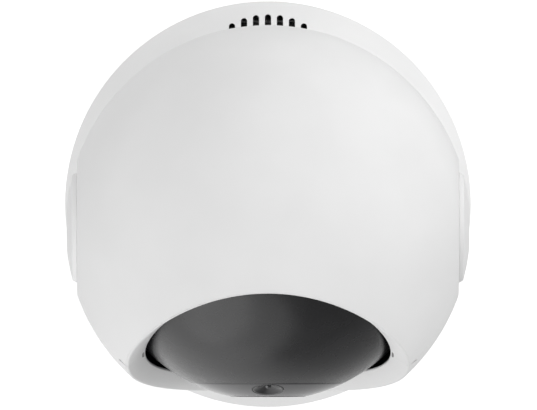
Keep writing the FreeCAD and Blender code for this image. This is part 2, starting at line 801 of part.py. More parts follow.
motor_can = turned("pan_motor_can", [
    ("0", "0"),
    ("pan_motor_radius - pan_motor_edge", "0"),
    ("pan_motor_radius", "pan_motor_edge"),
    ("pan_motor_radius", "pan_motor_height - pan_motor_edge"),
    ("pan_motor_radius - pan_motor_edge", "pan_motor_height"),
    ("0", "pan_motor_height"),
], ("0", "pinion_y", "plate_top"))
motor_pilot = cyl("pan_motor_pilot", "pan_pilot_radius", "1.25 * plate_thick",
                  ("0", "pinion_y", "plate_bottom"))
motor_ears = box("pan_motor_ears", "2 * (motor_ear + small_screw_head) + ear_thick", "ear_width", "ear_thick",
                 ("0", "pinion_y", "plate_top"))
motor_plug = box("pan_motor_plug", "0.8 * pan_motor_radius", "0.4 * pan_motor_radius", "pan_motor_height / 2",
                 ("0", "pinion_y + pan_motor_radius", "plate_top + pan_motor_height / 4"))
motor_bore = cyl("pan_motor_bore", "pan_shaft_radius + fit_gap", "3 * plate_thick + pan_pilot_radius",
                 ("0", "pinion_y", "plate_bottom - plate_thick"))
motor_ear_holes = [
    cyl(f"motor_ear_hole_{i}", "small_screw_radius + fit_gap", "3 * ear_thick",
        (f"{side} * motor_ear", "pinion_y", "plate_top - ear_thick"))
    for i, side in enumerate((-1, 1))
]
motor_solid = fuse("pan_motor_solid", motor_can, motor_pilot, motor_ears, motor_plug)
node("pan_motor", cut("pan_motor_cut", motor_solid, motor_bore, *motor_ear_holes))
screws("pan_motor_screws",
       [(f"{side} * motor_ear", "pinion_y", "plate_top + ear_thick") for side in (-1, 1)], UP, small=True)
shaft_foot = "deck_top + gear_end_gap"
node("pan_motor_shaft", cyl("pan_shaft", "pan_shaft_radius", f"plate_top + pan_pilot_radius - ({shaft_foot})",
                            ("0", "pinion_y", shaft_foot)))
pinion_half_step = math.pi / number("pinion_teeth")
node("pan_pinion", gear("pan_pinion_gear", "pinion_teeth", "pan_module", "pan_gear_thick - gear_end_gap",
                        "pan_shaft_radius + fit_gap / 2", math.pi / 2 + pinion_half_step,
                        ("0", "pinion_y", shaft_foot)))

board_disc = cyl("main_board_disc", "main_board_radius", "board_thick", ("0", "0", "board_bottom"))
board_socket = cyl("main_board_socket", "board_plug_radius", "board_plug_drop + run_gap",
                   ("0", "0", "board_bottom - board_plug_drop"))
chip_side = "main_board_radius / 2"
board_chips = [
    box("main_chip", "main_chip_size", "main_chip_size", "main_chip_thick + run_gap",
        ("0", chip_side, "board_bottom - main_chip_thick")),
    box("memory_chip", "main_chip_size * 0.55", "main_chip_size * 0.7", "main_chip_thick + run_gap",
        (f"0 - {chip_side}", "0", "board_bottom - main_chip_thick")),
    box("head_socket", "main_chip_size * 0.9", "main_chip_size * 0.35", "main_chip_thick + run_gap",
        ("0", chip_side, "board_top - run_gap")),
    box("motor_socket", "main_chip_size * 0.7", "main_chip_size * 0.35", "main_chip_thick * 3 + run_gap",
        (chip_side, "0", "board_bottom - main_chip_thick * 3")),
]
board_holes = [
    cyl(f"board_hole_{i}", "screw_radius + fit_gap", "3 * board_thick", (x, y, "board_bottom - board_thick"))
    for i, (x, y, z) in enumerate(post_spots)
]
board_solid = fuse("main_board_solid", board_disc, board_socket, *board_chips)
node("main_board", cut("main_board_cut", board_solid, *board_holes))
screws("main_board_screws", [(x, y, "board_top") for x, y, z in post_spots], UP)
screws("housing_screws", [(x, y, "plate_bottom") for x, y, z in boss_spots], DOWN)
screws("shell_screws", [(x, y, "plate_bottom") for x, y, z in leg_spots], DOWN)

# Lower housing with its sloped shoulder and speaker slots
slope = number("shoulder_slope")
housing_turned = turned("lower_housing_body", [
    ("body_radius - edge_chamfer", "housing_bottom"),
    ("body_radius", "housing_bottom + edge_chamfer"),
    ("body_radius", "shoulder_z"),
    ("body_radius - shoulder_inset", "shoulder_z + shoulder_height"),
    ("body_radius - shoulder_inset - slant_wall", "shoulder_z + shoulder_height"),
    ("body_inside", "shoulder_z - (slant_wall - body_wall) * tan(shoulder_slope)"),
    ("body_inside", "housing_bottom"),
])
housing_bosses = [
    cyl(f"housing_boss_{i}", "housing_boss_radius", "housing_boss_height", at)
    for i, at in enumerate(boss_spots)
]
housing_boss_holes = [
    cyl(f"housing_boss_hole_{i}", "screw_radius + fit_gap", "screw_grip", (x, y, "plate_bottom + screw_radius"))
    for i, (x, y, z) in enumerate(boss_spots)
]

# The slots and the speaker lie square to the rear shoulder: local Y runs down the slope, local Z outward.
shoulder_turn = FreeCAD.Rotation(V(1, 0, 0), -slope)


def on_shoulder(name, width, height, thick, across, down, deep):
    """A box on the rear shoulder, centred across and down the slope, from a depth outward."""
    spot = shoulder_turn.multVec(V(across, down, -deep))
    edge = V(0, number("body_radius"), number("shoulder_z")) + spot
    obj = doc.addObject("Part::Box", name)
    obj.Length = width
    obj.Width = height
    obj.Height = thick
    corner = shoulder_turn.multVec(V(-width / 2, -height / 2, 0))
    obj.Placement = FreeCAD.Placement(edge + corner, shoulder_turn)
    return obj


def rounded(obj, name, radius):
    """Round the four edges that run through a box along its own Z."""
    fillet = doc.addObject("Part::Fillet", name)
    fillet.Base = obj
    along = obj.Placement.Rotation.multVec(V(0, 0, 1))
    picked = []
    doc.recompute()
    for index, edge in enumerate(obj.Shape.Edges, start=1):
        if abs(edge.tangentAt(edge.FirstParameter).dot(along)) > 0.99:
            picked.append((index, radius, radius))
    fillet.Edges = picked
    return fillet


# The slots run straight down through the slope, as the mould draws. A slab along the slope sets their depth.
ROUND_END = 0.49
wall = number("body_wall")
speaker_width = number("speaker_width")
speaker_height = number("speaker_height")
speaker_spot = -number("slot_centre")
slot_inside = number("slot_cut_inside")
slot_count = round(number("slot_count"))
slot_bars = []
for index in range(slot_count):
    across = f"({index - (slot_count - 1) / 2}) * slot_pitch"
    reach = f"2 * (slot_half - slot_field_radius + sqrt(slot_field_radius^2 - ({across})^2))"
    bar = box(f"slot_bar_{index}", "slot_width", reach, "shoulder_height + 2 * body_wall",
              (across, "body_radius - slot_centre * cos(shoulder_slope)", "shoulder_z - 2 * body_wall"))
    slot_bars.append(rounded(bar, f"slot_{index}", number("slot_width") * ROUND_END))
slot_slab = on_shoulder("slot_slab", 3 * speaker_width, 4 * speaker_height,
                        wall + slot_inside + number("slot_cut_outside"), 0, speaker_spot, wall + slot_inside)
slot_tool = common("slot_tool", fuse("slot_bars", *slot_bars), slot_slab)

edge = number("speaker_frame")
speaker_thick = number("speaker_thick")
gap = number("seat_gap")
speaker_box = on_shoulder("speaker_box", speaker_width + 2 * (edge + gap), speaker_height + 2 * (edge + gap),
                          speaker_thick + 3 * gap, 0, speaker_spot, wall + speaker_thick - gap)
speaker_pocket = on_shoulder("speaker_pocket", speaker_width + 2 * gap, speaker_height + 2 * gap,
                             speaker_thick + wall + gap, 0, speaker_spot, speaker_thick + 2 * wall)
ball_seat = ball("ball_seat", "ball_radius + seat_gap")
housing_solid = fuse("lower_housing_solid", housing_turned, *housing_bosses, speaker_box)
node("lower_housing",
     cut("lower_housing_cut", housing_solid, ball_seat, speaker_pocket, slot_tool, *housing_boss_holes))

speaker_block = rounded(
    on_shoulder("speaker_block", speaker_width, speaker_height, speaker_thick,
                0, speaker_spot, wall + speaker_thick + number("fit_gap")),
    "speaker_rounded", number("speaker_corner"))
dish_edge = 2 * number("dish_edge")
speaker_dish = on_shoulder("speaker_dish", speaker_width - dish_edge, speaker_height - dish_edge, wall,
                           0, speaker_spot, wall + number("dish_depth"))
dish = rounded(speaker_dish, "speaker_dish_rounded", number("speaker_corner"))
node("speaker", cut("speaker_cut", speaker_block, dish))

# Ball shells with the sloped oval opening
tilt = number("opening_tilt")
opening_turn = FreeCAD.Rotation(V(1, 0, 0), 90 - tilt)
upright = FreeCAD.Rotation(V(0, 0, 1), 90)
opening_axis = opening_turn.multVec(V(0, 0, 1))
ball_middle = V(*[number(text) for text in BALL])


def opening_oval(name, along, half_width, half_height):
    """An oval across the opening axis, upright, at a distance along it."""
    obj = doc.addObject("Part::Ellipse", name)
    bind(obj, "MajorRadius", half_height)
    bind(obj, "MinorRadius", half_width)
    middle = ball_middle + opening_axis * number(along)
    obj.Placement = FreeCAD.Placement(middle, opening_turn.multiply(upright))
    return obj


ovals = [
    opening_oval(f"opening_oval_{i}", along,
                 f"lip_half_width + slope_side * ({along} - lip_side_depth)",
                 f"lip_half_height + slope_top * ({along} - lip_top_depth)")
    for i, along in enumerate(("lip_radius / 2", "ball_radius * 1.05"))
]
opening = doc.addObject("Part::Loft", "opening_cut")
opening.Sections = ovals
opening.Solid = True
opening.Ruled = True

rim_oval = opening_oval("rim_oval", "ball_radius / 8",
                        "lip_half_width + rim_width", "lip_half_height + rim_width")
rim_face = doc.addObject("Part::Face", "rim_face")
rim_face.Sources = [rim_oval]
rim_block = doc.addObject("Part::Extrusion", "rim_block")
rim_block.Base = rim_face
rim_block.DirMode = "Custom"
rim_block.Dir = opening_axis
bind(rim_block, "LengthFwd", "ball_radius")
rim_block.Solid = True

outer_ball = ball("outer_ball", "ball_radius")
cavity_ball = ball("cavity_ball", "cavity_radius")
cavity_slab = box("cavity_slab", "2 * flat_inside", "wide", "wide", ("0", "ball_y", "ball_z - half_wide"))
cavity = common("cavity", cavity_ball, cavity_slab)
rim_ball = ball("rim_ball", "lip_radius")
hollow = cut("hollow", cavity, cut("rim_zone", rim_block, rim_ball))
outer_slab = box("outer_slab", "2 * side_flat", "wide", "wide", ("0", "ball_y", "ball_z - half_wide"))
shell_outside = common("shell_outside", outer_ball, outer_slab)
flange_disc = cyl("shell_flange_disc", "flange_radius", "flange_thick", ("0", "ball_y", "flange_bottom"))
flange_bound = cyl("shell_flange_bound", "flange_limit", "flange_thick", ("0", "0", "flange_bottom"))
flange = common("shell_flange", flange_disc, flange_bound)
under_cut = box("under_cut", "wide", "wide", "ball_radius", ("0", "ball_y", "flange_bottom - ball_radius"))
side_holes = cyl("side_holes", "hub_spigot + fit_gap", "wide", ("0 - half_wide", "ball_y", "ball_z"), RIGHT)
SIDE_SIGNS = (-1, 1)
side_screw_spots = {
    side: [(f"{side} * side_flat", "ball_y", f"ball_z + {rise} * side_screw_circle") for rise in (-1, 1)]
    for side in SIDE_SIGNS
}
side_screw_holes = [
    cyl(f"side_screw_hole_{side}_{i}", "small_screw_radius + fit_gap", "3 * shell_wall",
        (f"{side} * (side_flat + shell_wall)", y, z), LEFT if side > 0 else RIGHT)
    for side in SIDE_SIGNS
    for i, (x, y, z) in enumerate(side_screw_spots[side])
]
shell_whole = cut("shell_whole", fuse("shell_and_flange", shell_outside, flange),
                  hollow, opening, under_cut, side_holes, *side_screw_holes)
split_turn = FreeCAD.Rotation(V(1, 0, 0), -tilt)
upper_half = box("upper_half", "wide", "wide", "half_wide", BALL, split_turn)
lower_half = box("lower_half", "wide", "wide", "half_wide", BALL, split_turn.multiply(DOWN))
node("ball_upper_shell", common("ball_upper_shell_part", shell_whole, upper_half))
lower_part = common("ball_lower_shell_part", shell_whole, lower_half)
legs = [
    cyl(f"shell_leg_{i}", "leg_radius", "flange_bottom - plate_top + flange_thick / 4", at)
    for i, at in enumerate(leg_spots)
]
leg_bores = [
    cyl(f"shell_leg_bore_{i}", "screw_radius + fit_gap", "screw_grip", (x, y, "plate_bottom + screw_radius"))
    for i, (x, y, z) in enumerate(leg_spots)
]
node("ball_lower_shell", cut("ball_lower_shell_cut", fuse("ball_lower_solid", lower_part, *legs), *leg_bores))

# Tilt bearings, fixed gear and side caps


def hub(name, turn):
    """A flanged bearing that sits in a flat side of the ball, with two screw bosses."""
    tube = turned(name + "_tube", [
        ("hub_bore", "tilt_gear_x"),
        ("hub_radius", "tilt_gear_x"),
        ("hub_radius", "flat_inside - hub_flange_thick"),
        ("hub_flange_radius", "flat_inside - hub_flange_thick"),
        ("hub_flange_radius", "flat_inside"),
        ("hub_spigot", "flat_inside"),
        ("hub_spigot", "hub_end"),
        ("hub_bore", "hub_end"),
    ], BALL, turn)
    side = 1 if turn is RIGHT else -1
    bosses = [
        cyl(f"{name}_boss_{i}", "small_screw_head + 2 * seat_gap", "side_boss_length",
            (f"{side} * (flat_inside - side_boss_length - hub_flange_thick / 3)", "ball_y",
             f"ball_z + {rise} * side_screw_circle"), turn)
        for i, rise in enumerate((-1, 1))
    ]
    bores = [
        cyl(f"{name}_bore_{i}", "small_screw_radius + fit_gap", "2 * side_boss_length",
            (f"{side} * (flat_inside - side_boss_length - hub_flange_thick)", "ball_y",
             f"ball_z + {rise} * side_screw_circle"), turn)
        for i, rise in enumerate((-1, 1))
    ]
    return fuse(name + "_solid", tube, *bosses), bores


right_hub, right_bores = hub("tilt_gear_hub", RIGHT)
tilt_teeth = gear("tilt_gear_teeth_ring", "tilt_gear_teeth", "tilt_module", "tilt_gear_thick",
                  "hub_bore", math.pi / 2, ("tilt_gear_x", "ball_y", "ball_z"), RIGHT)
node("tilt_gear", cut("tilt_gear_cut", fuse("tilt_gear_fuse", right_hub, tilt_teeth), *right_bores))
left_hub, left_bores = hub("tilt_bush_hub", LEFT)
node("tilt_bush", cut("tilt_bush_cut", left_hub, *left_bores))
side_screw_set = [
    screw(f"side_screw_{side}_{i}", at, RIGHT if side > 0 else LEFT, small=True)
    for side in SIDE_SIGNS
    for i, at in enumerate(side_screw_spots[side])
]
group("side_screws", side_screw_set)

for label, turn in (("side_cap_right", RIGHT), ("side_cap_left", LEFT)):
    blank = turned(label + "_blank", [
        ("0", "side_flat + cap_recess_depth"),
        ("cap_recess_radius", "side_flat + cap_recess_depth"),
        ("cap_recess_radius", "side_flat"),
        ("cap_radius", "side_flat"),
        ("cap_face_radius", "cap_face"),
        ("cap_face_radius", "ball_radius"),
        ("0", "ball_radius"),
    ], BALL, turn)
    domed = common(label + "_domed", blank, ball(label + "_ball", "ball_radius"))
    side = 1 if turn is RIGHT else -1
    facing = box(label + "_facing", "shell_wall", "2 * cap_radius", "2 * cap_radius",
                 (f"{side} * (cap_top + shell_wall / 2)", "ball_y", "ball_z - cap_radius"))
    node(label, cut(label + "_cut", domed, facing))

for label, turn in (("tilt_axle_right", RIGHT), ("tilt_axle_left", LEFT)):
    node(label, turned(label + "_body", [
        ("axle_bore", "side_inside - axle_flange_thick"),
        ("axle_flange", "side_inside - axle_flange_thick"),
        ("axle_flange", "side_inside"),
        ("axle_radius", "side_inside"),
        ("axle_radius", "hub_end - 3 * run_gap"),
        ("axle_bore", "hub_end - 3 * run_gap"),
    ], BALL, turn))

# Black ball that tilts
head_ball = ball("head_ball", "head_radius")
head_slab = box("head_slab", "2 * head_flat", "wide", "wide", ("0", "ball_y", "ball_z - half_wide"))
head_hollow_ball = ball("head_hollow_ball", "head_inside")
head_hollow_slab = box("head_hollow_slab", "2 * side_inside", "wide", "wide",
                       ("0", "ball_y", "ball_z - half_wide"))
head_outside = common("head_outside", head_ball, head_slab)
head_hollow = common("head_hollow", head_hollow_ball, head_hollow_slab)
axle_holes = cyl("axle_holes", "axle_radius + fit_gap", "wide", ("0 - half_wide", "ball_y", "ball_z"), RIGHT)
shell_core = ball("shell_core", "head_radius - head_wall / 2")
front_half = box("front_half", "wide", "wide", "half_wide", BALL, FRONT)
back_half = box("back_half", "wide", "wide", "half_wide", BALL, BACK)


def head_boss_parts(name, length, turn):
    """Screw bosses at the top and bottom of the parting plane, trimmed inside the wall."""
    raw = [
        cyl(f"{name}_{i}", "shell_boss_radius", length, ("0", "ball_y", f"ball_z + {rise} * boss_reach"), turn)
        for i, rise in enumerate((-1, 1))
    ]
    return common(name + "_trimmed", fuse(name + "_raw", *raw), shell_core)


def boss_bore(name, radius, start, length):
    return [
        cyl(f"{name}_{i}", radius, length,
            ("0", f"ball_y + {start}", f"ball_z + {rise} * boss_reach"), BACK)
        for i, rise in enumerate((-1, 1))
    ]


head_wall_shell = cut("head_wall_shell", head_outside, head_hollow, axle_holes)
sensor_post_spots = [(f"{a} * sensor_post_x", f"ball_z + {b} * sensor_post_z") for a, b in POST_SIGNS]
sensor_posts = [
    cyl(f"sensor_post_{i}", "sensor_post_radius", "head_radius - sensor_front",
        (x, "ball_y - sensor_front", z), FRONT)
    for i, (x, z) in enumerate(sensor_post_spots)
]
trimmed_posts = common("sensor_posts_trimmed", fuse("sensor_posts_raw", *sensor_posts), shell_core)
sensor_post_bores = [
    cyl(f"sensor_post_bore_{i}", "small_screw_radius + fit_gap", "small_grip + 2 * run_gap",
        (x, "ball_y - sensor_back", z), FRONT)
    for i, (x, z) in enumerate(sensor_post_spots)
]
window_back = ("0", "ball_y - head_radius / 2", "ball_z")
window_well = cyl("window_well", "window_radius + fit_gap", "head_radius", window_back, FRONT)
ledge_ball = ball("ledge_ball", "head_radius - window_thick - fit_gap")
window_pocket = cut("window_pocket", window_well, ledge_ball)
window_mouth = cyl("window_mouth", "window_radius - window_ledge", "head_radius", window_back, FRONT)
front_part = common("head_front_part", head_wall_shell, front_half)
front_solid = fuse("head_front_solid", front_part, head_boss_parts("front_boss", "shell_boss_length", FRONT),
                   trimmed_posts)
front_bores = boss_bore("front_bore", "small_screw_radius + fit_gap",
                        "0 - small_grip", "small_grip + shell_boss_sink")
node("head_front_shell",
     cut("head_front_cut", front_solid, window_pocket, window_mouth, *sensor_post_bores, *front_bores))

back_part = common("head_rear_part", head_wall_shell, back_half)
back_solid = fuse("head_rear_solid", back_part, head_boss_parts("rear_boss", "shell_boss_back", BACK))
pilot_hole = cyl("tilt_pilot_hole", "tilt_pilot_radius + run_gap", "3 * head_wall",
                 ("side_inside - head_wall", "motor_y", "ball_z"), RIGHT)
ear_holes = [
    cyl(f"tilt_ear_hole_{i}", "small_screw_radius + fit_gap", "head_wall - run_gap",
        ("side_inside - run_gap", "motor_y", f"ball_z + {rise} * tilt_ear"), RIGHT)
    for i, rise in enumerate((-1, 1))
]
rear_bores = boss_bore("rear_bore", "small_screw_radius + fit_gap",
                       "0 - small_screw_radius", "shell_boss_length")
rear_sinks = boss_bore("rear_sink", "small_screw_head + run_gap", "shell_boss_sink", "head_radius")
node("head_rear_shell",
     cut("head_rear_cut", back_solid, pilot_hole, *ear_holes, *rear_bores, *rear_sinks))
head_screw_spots = [("0", "ball_y + shell_boss_sink", f"ball_z + {rise} * boss_reach") for rise in (-1, 1)]
screws("head_screws", head_screw_spots, BACK, small=True)

# Front window, glass and infrared windows
window_disc = cyl("window_disc", "window_radius - fit_gap", "head_radius", window_back, FRONT)
window_inner = ball("window_inner", "head_radius - window_thick")
glass_hole = cyl("glass_hole", "glass_radius + fit_gap", "head_radius", window_back, FRONT)
ir_turns = [FreeCAD.Rotation(V(1, 0, 0), 90 - rise * number("ir_window_angle")) for rise in (1, -1)]
ir_holes = [
    cyl(f"ir_hole_{i}", "ir_window_radius + fit_gap", "1.1 * head_radius", BALL, turn)
    for i, turn in enumerate(ir_turns)
]
window_shell = cut("window_shell", common("window_cap", head_ball, window_disc), window_inner)
node("front_window", cut("front_window_cut", window_shell, glass_hole, *ir_holes))
ir_pieces = []
for index, turn in enumerate(ir_turns):
    rod = cyl(f"ir_rod_{index}", "ir_window_radius", "1.1 * head_radius", BALL, turn)
    ir_pieces.append(cut(f"ir_window_{index}", common(f"ir_cap_{index}", head_ball, rod), window_inner))
group("ir_windows", ir_pieces)

node("lens_glass", turned("lens_glass_body", [
    ("0", "glass_back"),
    ("glass_radius", "glass_back"),
    ("glass_radius", "glass_front - glass_edge"),
    ("glass_radius - glass_edge", "glass_front"),
    ("0", "glass_front"),
], BALL, FRONT))

# Lens, boards and lamps
barrel_back = "sensor_front + chip_thick + holder_foot"
barrel_step = "sensor_front + holder_height + 4 * run_gap"
node("lens_barrel", turned("lens_barrel_body", [
    ("0", barrel_back),
    ("barrel_thread_radius", barrel_back),
    ("barrel_thread_radius", barrel_step),
    ("barrel_radius", barrel_step),
    ("barrel_radius", "barrel_front"),
    ("(lens_radius + barrel_radius) / 2", "barrel_front"),
    ("lens_radius + fit_gap", "barrel_front - lens_bulge"),
    ("lens_radius + fit_gap", "lens_back"),
    ("0", "lens_back"),
], BALL, FRONT))
lens_rod = turned("front_lens_rod", [
    ("0", "lens_back + run_gap"),
    ("lens_radius", "lens_back + run_gap"),
    ("lens_radius", "barrel_front - run_gap"),
    ("0", "barrel_front - run_gap"),
], BALL, FRONT)
lens_rise = "(lens_bulge - 2 * run_gap)"
lens_curve = f"((lens_radius^2 + {lens_rise}^2) / (2 * {lens_rise}))"
lens_ball = ball("front_lens_ball", lens_curve,
                 ("0", f"ball_y - barrel_front + 2 * run_gap + {lens_curve}", "ball_z"))
node("front_lens", common("front_lens_part", lens_rod, lens_ball))

node("lens_holder", turned("lens_holder_body", [
    ("barrel_thread_radius + fit_gap", "sensor_front"),
    ("barrel_thread_radius + holder_wall + holder_foot", "sensor_front"),
    ("barrel_thread_radius + holder_wall + holder_foot", "sensor_front + holder_foot"),
    ("barrel_thread_radius + holder_wall", "sensor_front + holder_foot"),
    ("barrel_thread_radius + holder_wall", "sensor_front + holder_height"),
    ("barrel_thread_radius + fit_gap", "sensor_front + holder_height"),
], BALL, FRONT))
sensor_plate = box("sensor_plate", "sensor_width", "sensor_height", "board_thick",
                   ("0", "ball_y - sensor_back", "ball_z"), FRONT)
sensor_chip = box("sensor_chip", "chip_size", "chip_size", "chip_thick + run_gap",
                  ("0", "ball_y - sensor_front + run_gap", "ball_z"), FRONT)
sensor_core = box("sensor_core_chip", "core_chip_size", "core_chip_size", "chip_thick + run_gap",
                  ("0", "ball_y - sensor_back + chip_thick", "ball_z"), FRONT)
sensor_holes = [
    cyl(f"sensor_hole_{i}", "small_screw_radius + fit_gap", "3 * board_thick",
        (x, "ball_y - sensor_back + board_thick", z), FRONT)
    for i, (x, z) in enumerate(sensor_post_spots)
]
sensor_solid = fuse("sensor_board_solid", sensor_plate, sensor_chip, sensor_core)
node("sensor_board", cut("sensor_board_cut", sensor_solid, *sensor_holes))
screws("sensor_screws", [(x, "ball_y - sensor_back", z) for x, z in sensor_post_spots], BACK, small=True)

node("led_board", turned("led_board_body", [
    ("barrel_radius + 5 * run_gap", "led_board_front - led_board_thick"),
    ("led_board_radius", "led_board_front - led_board_thick"),
    ("led_board_radius", "led_board_front"),
    ("barrel_radius + 5 * run_gap", "led_board_front"),
], BALL, FRONT))
group("ir_leds", [
    turned(f"ir_led_{i}", [
        ("0", "0"),
        ("led_radius", "0"),
        ("led_radius", "led_height * 0.5"),
        ("led_radius * 0.6", "led_height"),
        ("0", "led_height"),
    ], ("0", "ball_y - led_board_front", f"ball_z + {rise} * led_circle"), FRONT)
    for i, rise in enumerate((-1, 1))
])

# Tilt drive
tilt_can = turned("tilt_motor_can", [
    ("0", "side_inside - tilt_motor_length"),
    ("tilt_motor_radius", "side_inside - tilt_motor_length"),
    ("tilt_motor_radius", "side_inside"),
    ("tilt_pilot_radius", "side_inside"),
    ("tilt_pilot_radius", "side_inside + head_wall * 0.75"),
    ("0", "side_inside + head_wall * 0.75"),
], ("0", "motor_y", "ball_z"), RIGHT)
tilt_ears = box("tilt_motor_ears", "2 * (tilt_ear + small_screw_head)", "ear_width * 0.8", "ear_thick",
                ("side_inside - ear_thick", "motor_y", "ball_z"), RIGHT)
shaft_start = "side_inside - tilt_motor_length / 2"
tilt_bore = cyl("tilt_motor_bore", "tilt_shaft_radius + fit_gap", "tilt_motor_length",
                (shaft_start, "motor_y", "ball_z"), RIGHT)
tilt_ear_bores = [
    cyl(f"tilt_ear_bore_{i}", "small_screw_radius + fit_gap", "3 * ear_thick",
        ("side_inside - 2 * ear_thick", "motor_y", f"ball_z + {rise} * tilt_ear"), RIGHT)
    for i, rise in enumerate((-1, 1))
]
node("tilt_motor",
     cut("tilt_motor_cut", fuse("tilt_motor_solid", tilt_can, tilt_ears), tilt_bore, *tilt_ear_bores))
tilt_screw_places = [
    ("side_inside - ear_thick", "motor_y", f"ball_z + {rise} * tilt_ear") for rise in (-1, 1)
]
tilt_screw_set = [
    turned(f"tilt_motor_screw_{i}", [
        ("0", "0 - head_wall * 1.25"),
        ("small_screw_radius", "0 - head_wall * 1.25"),
        ("small_screw_radius", "0"),
        ("small_screw_head", "0"),
        ("small_screw_head", "small_head_height"),
        ("0", "small_head_height"),
    ], at, LEFT)
    for i, at in enumerate(tilt_screw_places)
]
group("tilt_motor_screws", tilt_screw_set)
shaft_place = (f"{shaft_start} + gear_end_gap", "motor_y", "ball_z")
node("tilt_motor_shaft", cyl("tilt_shaft", "tilt_shaft_radius",
                             f"tilt_gear_end - ({shaft_start}) - 2 * gear_end_gap", shaft_place, RIGHT))
node("tilt_pinion", gear("tilt_pinion_gear", "pinion_teeth", "tilt_module", "tilt_gear_thick - gear_end_gap",
                         "tilt_shaft_radius + fit_gap / 2", pinion_half_step - math.pi / 2,
                         ("tilt_gear_x + gear_end_gap / 2", "motor_y", "ball_z"), RIGHT))

# Checks and files
doc.recompute()
for obj in doc.Objects:
    if "Invalid" in obj.State or "Error" in obj.State:
        raise RuntimeError("failed object: " + obj.Name)
for label, obj in nodes:
    shape = obj.Shape
    if shape.isNull() or not shape.isValid():
        raise RuntimeError("bad shape: " + label)
    if not shape.Solids:
        raise RuntimeError("no solid: " + label)
    shape.exportStep(f"parts/{label}.step")
    print(f"{label}: {len(shape.Solids)} solids, {shape.Volume:.1f} mm3")
print(len(nodes), "nodes, ball centre at", round(number("ball_z"), 3))
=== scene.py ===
import json
import math

import bmesh
import bpy
from mathutils import Matrix, Vector


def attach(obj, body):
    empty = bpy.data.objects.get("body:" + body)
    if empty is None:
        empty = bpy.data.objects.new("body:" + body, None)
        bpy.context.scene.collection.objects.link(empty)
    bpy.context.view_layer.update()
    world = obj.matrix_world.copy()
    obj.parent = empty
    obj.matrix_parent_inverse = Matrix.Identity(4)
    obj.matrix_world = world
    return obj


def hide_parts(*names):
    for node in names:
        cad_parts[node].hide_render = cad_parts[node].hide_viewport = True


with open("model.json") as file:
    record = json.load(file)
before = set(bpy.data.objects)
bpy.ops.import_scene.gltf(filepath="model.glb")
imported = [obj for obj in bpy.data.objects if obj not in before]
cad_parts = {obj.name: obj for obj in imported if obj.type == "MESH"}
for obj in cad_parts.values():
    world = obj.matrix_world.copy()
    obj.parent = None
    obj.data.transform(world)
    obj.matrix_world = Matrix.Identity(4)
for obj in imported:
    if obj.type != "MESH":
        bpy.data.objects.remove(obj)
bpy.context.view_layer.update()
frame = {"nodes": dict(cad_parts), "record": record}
MM = 0.001

# Materials. Every texture is worked out from the object's own coordinates, in metres. The noise values
# between these two are spread over the whole range of a finish.
NOISE_LOW = 0.3
NOISE_HIGH = 0.7
# How many changes per metre the colour and the gloss of each kind of material have.
PLASTIC_COLOUR_SCALE = 60.0
PLASTIC_GLOSS_SCALE = 240.0
METAL_COLOUR_SCALE = 300.0
METAL_GLOSS_SCALE = 900.0
METAL_MARKS = 0.3
CLEAR_COLOUR_SCALE = 120.0
CLEAR_GLOSS_SCALE = 500.0
CLEAR_WAVE_SCALE = 40.0
CLEAR_WAVE_HEIGHT = 0.000001
CLEAR_WAVES = 0.05
GLASS_IOR = 1.5


def new_material(name):
    """A new material, with its tree and its main shader."""
    material = bpy.data.materials.new(name)
    material.use_nodes = True
    tree = material.node_tree
    shader = tree.nodes["Principled BSDF"]
    return material, tree, shader


def noise(tree, scale, detail=3.0, rough=0.5):
    """The value of a noise texture on the object's own coordinates."""
    coords = tree.nodes.new("ShaderNodeTexCoord")
    texture = tree.nodes.new("ShaderNodeTexNoise")
    texture.inputs["Scale"].default_value = scale
    texture.inputs["Detail"].default_value = detail
    texture.inputs["Roughness"].default_value = rough
    tree.links.new(coords.outputs["Object"], texture.inputs["Vector"])
    return texture.outputs["Fac"]


def spread(tree, source, low, high):
    """Maps a noise value onto the range low to high."""
    node = tree.nodes.new("ShaderNodeMapRange")
    node.inputs["From Min"].default_value = NOISE_LOW
    node.inputs["From Max"].default_value = NOISE_HIGH
    node.inputs["To Min"].default_value = low
    node.inputs["To Max"].default_value = high
    tree.links.new(source, node.inputs["Value"])
    return node.outputs["Result"]


def tint(tree, source, dark, light):
    """Maps a noise value onto the colours from dark to light."""
    ramp = tree.nodes.new("ShaderNodeValToRGB")
    ramp.color_ramp.elements[0].position = NOISE_LOW
    ramp.color_ramp.elements[1].position = NOISE_HIGH
    ramp.color_ramp.elements[0].color = (*dark, 1.0)
    ramp.color_ramp.elements[1].color = (*light, 1.0)
    tree.links.new(source, ramp.inputs["Fac"])
    return ramp.outputs["Color"]


def bump(tree, shader, source, height, strength=0.5):
    """Raises the surface by a noise value, by a height in metres."""
    node = tree.nodes.new("ShaderNodeBump")
    node.inputs["Strength"].default_value = strength
    node.inputs["Distance"].default_value = height
    tree.links.new(source, node.inputs["Height"])
    tree.links.new(node.outputs["Normal"], shader.inputs["Normal"])


def moulded(name, dark, light, rough, grain, height, specular=0.5, mirror=0.0):
    """A moulded plastic: a fine surface grain, slow colour drift and uneven gloss."""
    material, tree, shader = new_material(name)
    shader.inputs["Metallic"].default_value = mirror
    fine = noise(tree, grain, detail=4.0, rough=0.6)
    broad = noise(tree, PLASTIC_COLOUR_SCALE, detail=2.0)
    gloss = noise(tree, PLASTIC_GLOSS_SCALE)
    tree.links.new(tint(tree, broad, dark, light), shader.inputs["Base Color"])
    tree.links.new(spread(tree, gloss, *rough), shader.inputs["Roughness"])
    shader.inputs["Specular IOR Level"].default_value = specular
    bump(tree, shader, fine, height)
    return material


